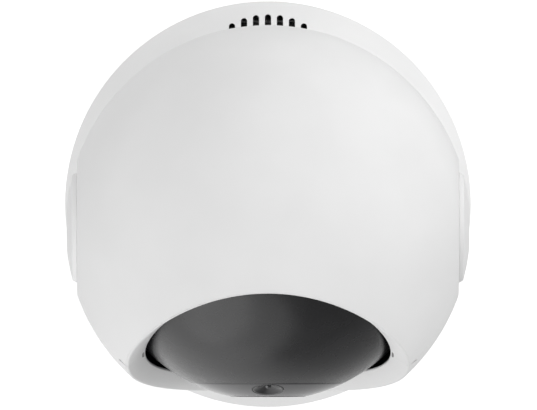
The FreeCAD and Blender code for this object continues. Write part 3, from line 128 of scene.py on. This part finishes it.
def metal(name, dark, light, rough, grain, height):
    """Plated or turned metal, with fine marks and uneven gloss."""
    material, tree, shader = new_material(name)
    shader.inputs["Metallic"].default_value = 1.0
    tree.links.new(tint(tree, noise(tree, METAL_COLOUR_SCALE), dark, light), shader.inputs["Base Color"])
    tree.links.new(spread(tree, noise(tree, METAL_GLOSS_SCALE), *rough), shader.inputs["Roughness"])
    bump(tree, shader, noise(tree, grain, detail=5.0), height, METAL_MARKS)
    return material


def clear(name, colour, rough, drift):
    """Glass or clear resin with a slight unevenness. Its palest colour is the colour times the drift."""
    material, tree, shader = new_material(name)
    shader.inputs["Transmission Weight"].default_value = 1.0
    shader.inputs["IOR"].default_value = GLASS_IOR
    pale = tuple(min(1.0, share * drift) for share in colour)
    tree.links.new(tint(tree, noise(tree, CLEAR_COLOUR_SCALE), colour, pale), shader.inputs["Base Color"])
    tree.links.new(spread(tree, noise(tree, CLEAR_GLOSS_SCALE), *rough), shader.inputs["Roughness"])
    bump(tree, shader, noise(tree, CLEAR_WAVE_SCALE), CLEAR_WAVE_HEIGHT, CLEAR_WAVES)
    return material


# Plastics: darkest and palest colour, range of roughness, changes per metre of the grain and its height
# in metres, and where they differ from the usual, the specular level and the mirror share.
PLASTICS = {
    "white_shell": ((0.80, 0.80, 0.80), (0.83, 0.83, 0.83), (0.5, 0.58), 5200.0, 0.000006, 0.12),
    "black_shell": ((0.012, 0.012, 0.013), (0.016, 0.016, 0.017), (0.24, 0.3), 6500.0, 0.000003),
    "window_plastic": ((0.03, 0.03, 0.032), (0.04, 0.04, 0.043), (0.12, 0.18), 4000.0, 0.000002),
    "tinted_window": ((0.085, 0.085, 0.087), (0.105, 0.105, 0.108), (0.1, 0.14), 3000.0, 0.000001, 0.5, 1.0),
    "barrel_black": ((0.012, 0.012, 0.012), (0.02, 0.02, 0.02), (0.45, 0.6), 4000.0, 0.00001),
    "board": ((0.01, 0.09, 0.035), (0.015, 0.13, 0.05), (0.25, 0.4), 2500.0, 0.00001),
    "gear_plastic": ((0.74, 0.72, 0.66), (0.8, 0.78, 0.72), (0.4, 0.5), 4000.0, 0.000008),
    "grey_plastic": ((0.22, 0.22, 0.23), (0.26, 0.26, 0.27), (0.4, 0.5), 4500.0, 0.00001),
    "speaker_black": ((0.012, 0.012, 0.012), (0.022, 0.022, 0.022), (0.5, 0.65), 3500.0, 0.00002),
    "lead": ((0.015, 0.015, 0.015), (0.03, 0.03, 0.03), (0.45, 0.6), 3000.0, 0.00001),
    "rubber": ((0.02, 0.02, 0.02), (0.035, 0.035, 0.035), (0.65, 0.8), 2600.0, 0.00003),
}
# Metals: darkest and palest colour, range of roughness, changes per metre of the marks and their height.
METALS = {
    "steel": ((0.5, 0.5, 0.5), (0.62, 0.62, 0.62), (0.22, 0.34), 4000.0, 0.000005),
    "motor_steel": ((0.55, 0.55, 0.54), (0.68, 0.68, 0.66), (0.28, 0.4), 3000.0, 0.000008),
    "brass": ((0.62, 0.44, 0.18), (0.75, 0.56, 0.26), (0.2, 0.32), 3500.0, 0.000006),
}
# Clear pieces: colour, range of roughness and drift.
CLEARS = {
    "lens_cover": ((0.55, 0.57, 0.6), (0.01, 0.03), 1.2),
    "lens": ((0.55, 0.5, 0.75), (0.01, 0.03), 1.2),
    "led_clear": ((0.8, 0.8, 0.85), (0.05, 0.12), 1.1),
}
FINISHES = {
    name: make(name, *values)
    for make, table in ((moulded, PLASTICS), (metal, METALS), (clear, CLEARS))
    for name, values in table.items()
}

for part in frame["record"]["subparts"]:
    cad_node = frame["nodes"][part["node"]]
    cad_node.data.materials.clear()
    cad_node.data.materials.append(FINISHES[part["material_slot"]])

# Shapes. All lengths are in millimetres, as in the part's source, and finished() brings them to metres.
# Points within MERGE of each other become one, points within ON_AXIS of an axis count as on it, and points
# within CUT_REACH of a cutting plane as on that.
MERGE = 0.0005
ON_AXIS = 1e-6
CUT_REACH = 1e-5

# The ball of the turning body, and the lens head in it.
BALL = Vector((0.0, -4.86, 71.8))
BALL_RADIUS = 41.9
BALL_WALL = 2.3
CAVITY_RADIUS = BALL_RADIUS - BALL_WALL
HEAD_RADIUS = 35.8
SIDE_FLAT = 39.43
SHELL_FOOT = 38.9

# The opening: half its width and height at the outer edge and at the lip, and the way it faces. The rim
# behind the lip is RIM_WIDTH wide, and the ball's cavity starts RIM_STEP outside it.
LIP_RADIUS = 37.0
OPENING_HALF = (29.0, 33.5)
LIP_HALF = (25.15, 29.6)
RIM_WIDTH = 4.5
RIM_STEP = 0.6
LIP_ROUND = 0.35
EDGE_ROUND = 0.55
OPENING_TILT = math.radians(18.0)
AHEAD = Vector((0.0, -math.cos(OPENING_TILT), math.sin(OPENING_TILT)))
ACROSS = Vector((1.0, 0.0, 0.0))
ABOVE = Vector((0.0, math.sin(OPENING_TILT), math.cos(OPENING_TILT)))


def in_order(mesh):
    """Sorts edges and faces by their corners, because a cut by a plane leaves the faces in another order on
    each run."""
    mesh.verts.index_update()
    for items in (mesh.edges, mesh.faces):
        ordered = sorted(items, key=lambda item: sorted(vert.index for vert in item.verts))
        for number, item in enumerate(ordered):
            item.index = number
        items.sort()


def finished(name, mesh, finish, body, replaced=(), smooth=35.0, shade_or_lamp_finish=None):
    """Makes the piece of a mesh, with its finish, its body and the nodes that it stands for. Edges sharper
    than smooth, in degrees, look crisp. Faces with material index 1 take the second finish: black painted
    shade inside the ball's shells, and the lamps' own finish in the infrared bowls."""
    bmesh.ops.remove_doubles(mesh, verts=mesh.verts, dist=MERGE)
    bmesh.ops.dissolve_degenerate(mesh, edges=mesh.edges, dist=MERGE)
    bmesh.ops.triangulate(mesh, faces=[face for face in mesh.faces if len(face.verts) > 4])
    bmesh.ops.recalc_face_normals(mesh, faces=mesh.faces)
    if mesh.calc_volume(signed=True) < 0.0:
        bmesh.ops.reverse_faces(mesh, faces=mesh.faces)
    in_order(mesh)
    for face in mesh.faces:
        face.smooth = True
    data = bpy.data.meshes.new(name)
    mesh.to_mesh(data)
    mesh.free()
    data.transform(Matrix.Scale(MM, 4))
    data.set_sharp_from_angle(angle=math.radians(smooth))
    data.materials.append(FINISHES[finish])
    if shade_or_lamp_finish:
        data.materials.append(FINISHES[shade_or_lamp_finish])
    piece = bpy.data.objects.new(name, data)
    bpy.context.scene.collection.objects.link(piece)
    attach(piece, body)
    if replaced:
        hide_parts(*replaced)


def softened(corners, radii, steps=4):
    """A profile whose corners are rounded by the given radii."""
    points = []
    count = len(corners)
    for index, (corner, radius) in enumerate(zip(corners, radii)):
        here = Vector(corner)
        if radius == 0.0:
            points.append(here)
            continue
        back = (Vector(corners[(index - 1) % count]) - here).normalized()
        ahead = (Vector(corners[(index + 1) % count]) - here).normalized()
        half = back.angle(ahead) / 2
        reach = radius / math.tan(half)
        middle = here + (back + ahead).normalized() * (radius / math.sin(half))
        first = here + back * reach - middle
        last = here + ahead * reach - middle
        for step in range(steps + 1):
            points.append(middle + first.normalized().slerp(last.normalized(), step / steps) * radius)
    return points


def lathe(profile, axis, segments=128, closed=False):
    """Turns a profile of (radius, height) about an axis through the ball's centre. A closed one joins its
    ends."""
    mesh = bmesh.new()
    turn = Vector((0.0, 0.0, 1.0)).rotation_difference(Vector(axis)).to_matrix()
    rows = []
    for radius, height in profile:
        if radius < ON_AXIS:
            rows.append([mesh.verts.new(BALL + turn @ Vector((0.0, 0.0, height)))])
            continue
        rows.append([
            mesh.verts.new(BALL + turn @ Vector((
                radius * math.cos(2 * math.pi * i / segments),
                radius * math.sin(2 * math.pi * i / segments),
                height,
            )))
            for i in range(segments)
        ])
    pairs = list(zip(rows, rows[1:] + rows[:1] if closed else rows[1:]))
    for low, high in pairs:
        for i in range(segments):
            j = (i + 1) % segments
            loop = [low[i % len(low)], low[j % len(low)], high[j % len(high)], high[i % len(high)]]
            mesh.faces.new(list(dict.fromkeys(loop)))
    bmesh.ops.recalc_face_normals(mesh, faces=mesh.faces)
    return mesh


def carved(mesh, cutters):
    """Cuts closed shapes out of a closed mesh."""
    helpers = []
    for shape in (mesh, *cutters):
        data = bpy.data.meshes.new("carving")
        shape.to_mesh(data)
        shape.free()
        helpers.append(bpy.data.objects.new("carving", data))
        bpy.context.scene.collection.objects.link(helpers[-1])
    for helper in helpers[1:]:
        step = helpers[0].modifiers.new("cut", "BOOLEAN")
        step.operation = "DIFFERENCE"
        step.solver = "EXACT"
        step.object = helper
    view = bpy.context.evaluated_depsgraph_get()
    left = bpy.data.meshes.new_from_object(helpers[0].evaluated_get(view))
    result = bmesh.new()
    result.from_mesh(left)
    for data in [helper.data for helper in helpers] + [left]:
        bpy.data.meshes.remove(data)
    return result


def on_oval(angle, half):
    """The distance from the opening's axis to an oval, at an angle round it."""
    return 1.0 / math.hypot(math.cos(angle) / half[0], math.sin(angle) / half[1])


# The ball's two shells: how many points their section has outside, inside, under the rim and at each
# rounded corner, how much the outer ones crowd towards the opening, and how many sections each half has.
# The seam between the halves is rounded from SEAM_INSET outside the lip's radius on.
OUTER_STEPS = 84
OUTER_CROWDING = 1.25
INNER_STEPS = 24
UNDER_STEPS = 4
INNER_ROWS = INNER_STEPS + UNDER_STEPS
FRONT_STEPS = 5
HALF_TURNS = 96
SEAM_ROUND = 0.14
SEAM_INSET = 0.25


def arc(radius, turns):
    """Points on a circle about the ball's centre, as (distance from the axis, distance ahead)."""
    return [(radius * math.sin(turn), radius * math.cos(turn)) for turn in turns]


def shell_profile(angle):
    """The shell's section at an angle round the opening, as (distance from the axis, distance ahead)."""
    edge = on_oval(angle, OPENING_HALF)
    lip = on_oval(angle, LIP_HALF)
    rim = lip + RIM_WIDTH
    edge_turn = math.asin(edge / BALL_RADIUS)
    lip_turn = math.asin(lip / LIP_RADIUS)
    rim_turn = math.asin(rim / LIP_RADIUS)
    cavity_turn = math.asin((rim + RIM_STEP) / CAVITY_RADIUS)
    outside = arc(BALL_RADIUS, [
        edge_turn + (math.pi - edge_turn) * (i / OUTER_STEPS) ** OUTER_CROWDING
        for i in range(1, OUTER_STEPS)
    ])
    inside = arc(CAVITY_RADIUS, [
        cavity_turn + (math.pi - cavity_turn) * i / INNER_STEPS
        for i in range(INNER_STEPS)
    ])
    under = arc(LIP_RADIUS, [
        lip_turn + (rim_turn - lip_turn) * i / UNDER_STEPS
        for i in range(1, UNDER_STEPS + 1)
    ])
    corners = [
        under[0],
        (lip, LIP_RADIUS * math.cos(lip_turn)),
        (edge, BALL_RADIUS * math.cos(edge_turn)),
        outside[0],
    ]
    front = softened(corners, (0.0, LIP_ROUND, EDGE_ROUND, 0.0), FRONT_STEPS)
    return inside[::-1] + under[::-1] + front[1:-1] + outside


def trim(mesh, place, outward):
    """Cuts away what lies outside a plane and closes the cut with faces of the outer finish."""
    cut = bmesh.ops.bisect_plane(
        mesh,
        geom=mesh.verts[:] + mesh.edges[:] + mesh.faces[:],
        dist=CUT_REACH,
        plane_co=place,
        plane_no=outward,
        clear_outer=True,
    )
    rim = [item for item in cut["geom_cut"] if isinstance(item, bmesh.types.BMEdge)]
    for face in bmesh.ops.holes_fill(mesh, edges=rim, sides=0)["faces"]:
        face.material_index = 0


def half_shell(name, start, replaced):
    """Half of the ball, from one side of the parting plane to the other. Its inner faces get index 1, which
    makes them black: painted shade, since the shell is white inside.
    """
    mesh = bmesh.new()
    columns = []
    for column in range(HALF_TURNS + 1):
        angle = start + math.pi * column / HALF_TURNS
        spoke = ACROSS * math.cos(angle) + ABOVE * math.sin(angle)
        places = [BALL + spoke * out + AHEAD * ahead for out, ahead in shell_profile(angle)]
        columns.append([mesh.verts.new(place) for place in places])
    inner_pole = mesh.verts.new(BALL - AHEAD * CAVITY_RADIUS)
    outer_pole = mesh.verts.new(BALL - AHEAD * BALL_RADIUS)
    # Faces in the cavity and under the rim get index 1 and render black, as painted shade.
    for left, right in zip(columns, columns[1:]):
        for row in range(len(left) - 1):
            face = mesh.faces.new((left[row], right[row], right[row + 1], left[row + 1]))
            face.material_index = int(row < INNER_ROWS)
        mesh.faces.new((left[0], inner_pole, right[0])).material_index = 1
        mesh.faces.new((left[-1], right[-1], outer_pole))
    seam = columns[0] + [outer_pole] + columns[-1][::-1] + [inner_pole]
    cap = mesh.faces.new(seam)
    bmesh.ops.recalc_face_normals(mesh, faces=mesh.faces)
    inner_seam = columns[0][:INNER_ROWS] + columns[-1][:INNER_ROWS]
    outer_edges = [
        edge for edge in cap.edges
        if min((vert.co - BALL).length for vert in edge.verts) > LIP_RADIUS + SEAM_INSET
        and not any(vert in inner_seam for vert in edge.verts)
    ]
    bmesh.ops.bevel(mesh, geom=outer_edges, offset=SEAM_ROUND, segments=2, profile=0.5, affect="EDGES")
    for side in (-1.0, 1.0):
        trim(mesh, Vector((side * SIDE_FLAT, 0.0, 0.0)), Vector((side, 0.0, 0.0)))
    trim(mesh, Vector((0.0, 0.0, SHELL_FOOT)), Vector((0.0, 0.0, -1.0)))
    # The black finish on the inner faces is painted shade of the cavity.
    finished(name, mesh, "white_shell", "turning_body", replaced, shade_or_lamp_finish="black_shell")


half_shell("shell_upper", 0.0, ("ball_upper_shell",))
half_shell("shell_lower", math.pi, ("ball_lower_shell",))

# Microphone slots on the sloped edge of the opening, at both ends of the parting plane, drawn as black
# pieces on the surface instead of holes: their black is painted shade of the holes. MIC_SPOT is their
# place and MIC_HALF_WIDTH half their width, as shares of the way from the lip to the outer edge. Their
# ends narrow to the share MIC_END, the more suddenly the higher MIC_POWER is. They stand MIC_PROUD out of
# the surface and reach MIC_SUNK into it.
MIC_SPOT = 0.16
MIC_HALF_WIDTH = 0.05
MIC_END = 0.2
MIC_POWER = 8
MIC_HALF_TURN = math.radians(3.4)
MIC_PROUD = 0.02
MIC_SUNK = 0.25
MIC_STEPS = 12


def on_bezel(angle, share, lift):
    """A point on the sloped edge, a share of the way from lip to edge and lifted off it."""
    lip = on_oval(angle, LIP_HALF)
    edge = on_oval(angle, OPENING_HALF)
    start = Vector((lip, math.sqrt(LIP_RADIUS ** 2 - lip ** 2)))
    slant = Vector((edge, math.sqrt(BALL_RADIUS ** 2 - edge ** 2))) - start
    spot = start + slant * share + Vector((-slant.y, slant.x)).normalized() * lift
    return BALL + (ACROSS * math.cos(angle) + ABOVE * math.sin(angle)) * spot.x + AHEAD * spot.y


mic_mesh = bmesh.new()
for middle in (0.0, math.pi):
    rings = []
    for step in range(MIC_STEPS + 1):
        along = -1.0 + 2.0 * step / MIC_STEPS
        angle = middle + along * MIC_HALF_TURN
        half = MIC_HALF_WIDTH * max(MIC_END, math.sqrt(1.0 - along ** MIC_POWER))
        corners = [
            (MIC_SPOT - half, MIC_PROUD),
            (MIC_SPOT + half, MIC_PROUD),
            (MIC_SPOT + half, -MIC_SUNK),
            (MIC_SPOT - half, -MIC_SUNK),
        ]
        rings.append([mic_mesh.verts.new(on_bezel(angle, share, lift)) for share, lift in corners])
    for low, high in zip(rings, rings[1:]):
        for i in range(len(low)):
            j = (i + 1) % len(low)
            mic_mesh.faces.new((low[i], low[j], high[j], high[i]))
    mic_mesh.faces.new(rings[0])
    mic_mesh.faces.new(rings[-1][::-1])
bmesh.ops.recalc_face_normals(mic_mesh, faces=mic_mesh.faces)
# Black pieces in place of holes: painted shade of the microphone slots.
finished("microphone_slot_shade", mic_mesh, "black_shell", "turning_body")

# Side caps: domed discs with softened corners and a flat middle. CAP_CROWN and CAP_FLAT are the radii of
# the rows of points on the dome and on the flat.
CAP_RADIUS = 11.5
CAP_FACE_RADIUS = 10.93
CAP_CROWN = (10.2, 9.4, 8.5, 7.5, 6.5, 5.5)
CAP_FLAT = (4.76, 3.0, 0.0)
CAP_FOOT_ROUND = 0.12
CAP_FACE_ROUND = 0.25
CAP_CLEAR = 0.02


def crown_height(radius):
    """How far a cap's dome stands from the ball's centre at a radius."""
    return math.sqrt(BALL_RADIUS ** 2 - radius ** 2) - CAP_CLEAR


for side, label in ((1.0, "right"), (-1.0, "left")):
    foot = SIDE_FLAT + CAP_CLEAR
    crown = [(radius, crown_height(radius)) for radius in CAP_CROWN]
    rim = [(0.0, foot), (CAP_RADIUS, foot), (CAP_FACE_RADIUS, crown_height(CAP_FACE_RADIUS)), crown[0]]
    profile = softened(rim, (0.0, CAP_FOOT_ROUND, CAP_FACE_ROUND, 0.0))[:-1] + crown
    profile += [(radius, crown_height(CAP_FLAT[0])) for radius in CAP_FLAT]
    cap = lathe(profile, (side, 0.0, 0.0))
    finished("cap_" + label, cap, "white_shell", "turning_body", ("side_cap_" + label,))

# The ring round the lens and the infrared windows in it, which are shallow dark bowls with a lamp each.
# RING_GLASS_EDGE and RING_OUTER_EDGE soften its edges, as (distance from the edge, depth).
WINDOW_RADIUS = 15.82
WINDOW_THICK = 1.1
GLASS_RADIUS = 8.06
RING_ROWS = 20
RING_MARGIN = 0.3
RING_GLASS_EDGE = ((0.0, 0.22), (0.1, 0.08))
RING_OUTER_EDGE = ((0.1, 0.02), (0.0, 0.16))
IR_RISE = math.radians(20.5)
IR_SEGMENTS = 64
IR_RADIUS = 3.2
IR_PLAY = 0.03
IR_CUT_DEPTH = 3.0
IR_CUT_PAST = 1.0
# The hole's bevelled mouth: its width, where it starts and where it ends, as depths below the ring's face.
IR_MOUTH = 0.2
IR_MOUTH_FOOT = 0.27
IR_MOUTH_TOP = 0.1
# The bowl: its back and front as depths, its rim's radius and edges, the depth of its funnel, and the
# angle up to which its faces look smooth.
IR_BACK = 1.15
IR_SUNK = 0.16
IR_RIM = 2.75
IR_EDGE = 0.1
IR_RIM_STEP = 0.06
IR_DEPTH = 0.95
IR_SMOOTH = 50.0
# The lamp: its radius, and its dome as (share of the radius, height over the funnel's foot).
IR_LAMP = 0.7
IR_LAMP_DOME = ((1.0, 0.0), (0.94, 0.25), (0.77, 0.46), (0.42, 0.62), (0.0, 0.68))


def head_height(radius):
    """How far the lens head's face stands from the ball's centre at a radius."""
    return math.sqrt(HEAD_RADIUS ** 2 - radius ** 2)


ring_width = WINDOW_RADIUS - 2 * RING_MARGIN - GLASS_RADIUS
ring_rows = [GLASS_RADIUS + RING_MARGIN + ring_width * i / RING_ROWS for i in range(RING_ROWS + 1)]
glass_height = head_height(GLASS_RADIUS)
window_height = head_height(WINDOW_RADIUS)
ring_profile = [(GLASS_RADIUS, glass_height - WINDOW_THICK)]
ring_profile += [(GLASS_RADIUS + inset, glass_height - depth) for inset, depth in RING_GLASS_EDGE]
ring_profile += [(radius, head_height(radius)) for radius in ring_rows]
ring_profile += [(WINDOW_RADIUS - inset, window_height - depth) for inset, depth in RING_OUTER_EDGE]
ring_profile += [(WINDOW_RADIUS, window_height - WINDOW_THICK)]
ir_axes = [Vector((0.0, -math.cos(IR_RISE), rise * math.sin(IR_RISE))) for rise in (1.0, -1.0)]
ir_hole = [
    (0.0, HEAD_RADIUS - IR_CUT_DEPTH),
    (IR_RADIUS + IR_PLAY, HEAD_RADIUS - IR_CUT_DEPTH),
    (IR_RADIUS + IR_PLAY, HEAD_RADIUS - IR_MOUTH_FOOT),
    (IR_RADIUS + IR_MOUTH, HEAD_RADIUS - IR_MOUTH_TOP),
    (IR_RADIUS + IR_MOUTH, HEAD_RADIUS + IR_CUT_PAST),
    (0.0, HEAD_RADIUS + IR_CUT_PAST),
]
ring_mesh = carved(
    lathe(ring_profile, (0.0, -1.0, 0.0), closed=True),
    [lathe(ir_hole, axis, segments=IR_SEGMENTS) for axis in ir_axes],
)
finished("front_ring", ring_mesh, "window_plastic", "lens_head", ("front_window",))

ir_front = HEAD_RADIUS - IR_SUNK
ir_foot = ir_front - IR_DEPTH
ir_profile = [
    (0.0, HEAD_RADIUS - IR_BACK),
    (IR_RADIUS, HEAD_RADIUS - IR_BACK),
    (IR_RADIUS, ir_front - IR_EDGE),
    (IR_RADIUS - IR_EDGE, ir_front),
    (IR_RIM + IR_EDGE, ir_front),
    (IR_RIM, ir_front - IR_RIM_STEP),
]
ir_profile += [(IR_LAMP * share, ir_foot + rise) for share, rise in IR_LAMP_DOME]
bowls = bmesh.new()
for axis in ir_axes:
    bowl = lathe(ir_profile, axis, segments=IR_SEGMENTS)
    for face in bowl.faces:
        middle = face.calc_center_median() - BALL
        height = middle.dot(axis)
        on_lamp = height > ir_foot and (middle - axis * height).length < IR_LAMP
        face.material_index = int(on_lamp)
    single = bpy.data.meshes.new("bowl")
    bowl.to_mesh(single)
    bowl.free()
    bowls.from_mesh(single)
    bpy.data.meshes.remove(single)
finished("ir_bowls", bowls, "black_shell", "lens_head", ("ir_windows",), IR_SMOOTH, shade_or_lamp_finish="tinted_window")

# Camera: straight down, with the front of the object at the bottom of the picture. A long lens stands so
# far off that a pixel of the photograph is PIXEL wide at the ball's centre. AXIS_RIGHT and AXIS_DOWN are
# the place in the object's frame that the picture's middle looks at.
PHOTO_WIDTH = 537
PIXEL = 0.207 * MM
SENSOR = 36.0
LENS = 1000.0
NEAR_CLIP = 0.1
AXIS_RIGHT = 0.55 * PIXEL
AXIS_DOWN = -0.9 * PIXEL
distance = PHOTO_WIDTH * PIXEL * LENS / SENSOR
camera_data = bpy.data.cameras.new("camera")
camera_data.sensor_width = SENSOR
camera_data.lens = LENS
camera_data.clip_start = NEAR_CLIP
camera = bpy.data.objects.new("camera", camera_data)
camera.location = (AXIS_RIGHT, AXIS_DOWN, BALL.z * MM + distance)
bpy.context.scene.collection.objects.link(camera)
bpy.context.scene.camera = camera
bpy.context.scene.view_settings.view_transform = "Standard"

# Floor: whitened for the camera, so that only the shadow shows on it. In reflections alone it glows, bright
# on the left and not at all on the right, a painted reflection on the object's glossy faces, and the half
# width below is how far the change reaches either way.
FLOOR_HALF = 3.0
FLOOR_DROP = 0.0002
FLOOR_COLOUR = (0.42, 0.42, 0.42, 1.0)
FLOOR_ROUGH = 0.9
FLOOR_GLOW = 0.8
PAINTED_REFLECTION_HALF = 0.12
WHITE = (1.0, 1.0, 1.0, 1.0)


def math_node(tree, operation, first, second):
    """The result of a sum or product. Each value is a number or another node's output."""
    node = tree.nodes.new("ShaderNodeMath")
    node.operation = operation
    for socket, value in zip(node.inputs, (first, second)):
        if isinstance(value, float):
            socket.default_value = value
        else:
            tree.links.new(value, socket)
    return node.outputs["Value"]


floor_corners = [
    (side * FLOOR_HALF, end * FLOOR_HALF, -FLOOR_DROP)
    for side, end in ((-1, -1), (1, -1), (1, 1), (-1, 1))
]
floor_mesh = bpy.data.meshes.new("floor")
floor_mesh.from_pydata(floor_corners, [], [(0, 1, 2, 3)])
floor = bpy.data.objects.new("floor", floor_mesh)
bpy.context.scene.collection.objects.link(floor)
floor_material, floor_tree, floor_shader = new_material("floor_paint")
floor_shader.inputs["Base Color"].default_value = FLOOR_COLOUR
floor_shader.inputs["Roughness"].default_value = FLOOR_ROUGH
floor_shader.inputs["Specular IOR Level"].default_value = 0.0
floor_shader.inputs["Emission Color"].default_value = WHITE
light_path = floor_tree.nodes.new("ShaderNodeLightPath")
floor_coords = floor_tree.nodes.new("ShaderNodeTexCoord")
floor_axes = floor_tree.nodes.new("ShaderNodeSeparateXYZ")
floor_tree.links.new(floor_coords.outputs["Object"], floor_axes.inputs["Vector"])
# Painted reflection: the floor glows for glossy rays on its left side only, fading out across the middle.
reflection_glow_side = floor_tree.nodes.new("ShaderNodeMapRange")
reflection_glow_side.interpolation_type = "SMOOTHSTEP"
reflection_glow_side.inputs["From Min"].default_value = -PAINTED_REFLECTION_HALF
reflection_glow_side.inputs["From Max"].default_value = PAINTED_REFLECTION_HALF
reflection_glow_side.inputs["To Min"].default_value = 1.0
reflection_glow_side.inputs["To Max"].default_value = 0.0
floor_tree.links.new(floor_axes.outputs["X"], reflection_glow_side.inputs["Value"])
seen = math_node(floor_tree, "MULTIPLY", light_path.outputs["Is Camera Ray"], FLOOR_GLOW)
painted_reflection = math_node(floor_tree, "MULTIPLY", light_path.outputs["Is Glossy Ray"], reflection_glow_side.outputs["Result"])
glow = math_node(floor_tree, "ADD", seen, painted_reflection)
floor_tree.links.new(glow, floor_shader.inputs["Emission Strength"])
floor_mesh.materials.append(floor_material)

# Studio light: an even sky that the camera sees as white, and soft discs round the object.
SKY_LEVEL = 0.32
BACKDROP_LEVEL = 1.0
world = bpy.data.worlds.new("studio")
world.use_nodes = True
world_tree = world.node_tree
background = world_tree.nodes["Background"]
background.inputs["Color"].default_value = WHITE
world_path = world_tree.nodes.new("ShaderNodeLightPath")
world_level = world_tree.nodes.new("ShaderNodeMapRange")
world_level.inputs["To Min"].default_value = SKY_LEVEL
world_level.inputs["To Max"].default_value = BACKDROP_LEVEL
world_tree.links.new(world_path.outputs["Is Camera Ray"], world_level.inputs["Value"])
world_tree.links.new(world_level.outputs["Result"], background.inputs["Strength"])
bpy.context.scene.world = world


def area_light(name, place, aim, size, power):
    """A round lamp at a place, turned to the aim."""
    data = bpy.data.lights.new(name, "AREA")
    data.shape = "DISK"
    data.size = size
    data.energy = power
    light = bpy.data.objects.new(name, data)
    light.location = place
    direction = Vector(aim) - Vector(place)
    light.rotation_euler = direction.to_track_quat("-Z", "Y").to_euler()
    bpy.context.scene.collection.objects.link(light)


# Each disc: its direction round the object in degrees from the right, its height in degrees, size and power.
AIM = Vector((0.0, 0.0, 0.06))
LIGHT_DISTANCE = 1.3
LIGHTS = {
    "left_panel": (200.0, 28.0, 1.6, 2.4),
    "front_left_panel": (225.0, 24.0, 1.6, 5.8),
    "front_panel": (250.0, 24.0, 1.6, 6.0),
    "right_panel": (8.0, 22.0, 1.0, 9.4),
    "rear_panel": (92.0, 30.0, 1.2, 8.4),
}
for name, (round_angle, rise, size, power) in LIGHTS.items():
    level = math.cos(math.radians(rise))
    direction = Vector((
        level * math.cos(math.radians(round_angle)),
        level * math.sin(math.radians(round_angle)),
        math.sin(math.radians(rise)),
    ))
    area_light(name, AIM + direction * LIGHT_DISTANCE, AIM, size, power)
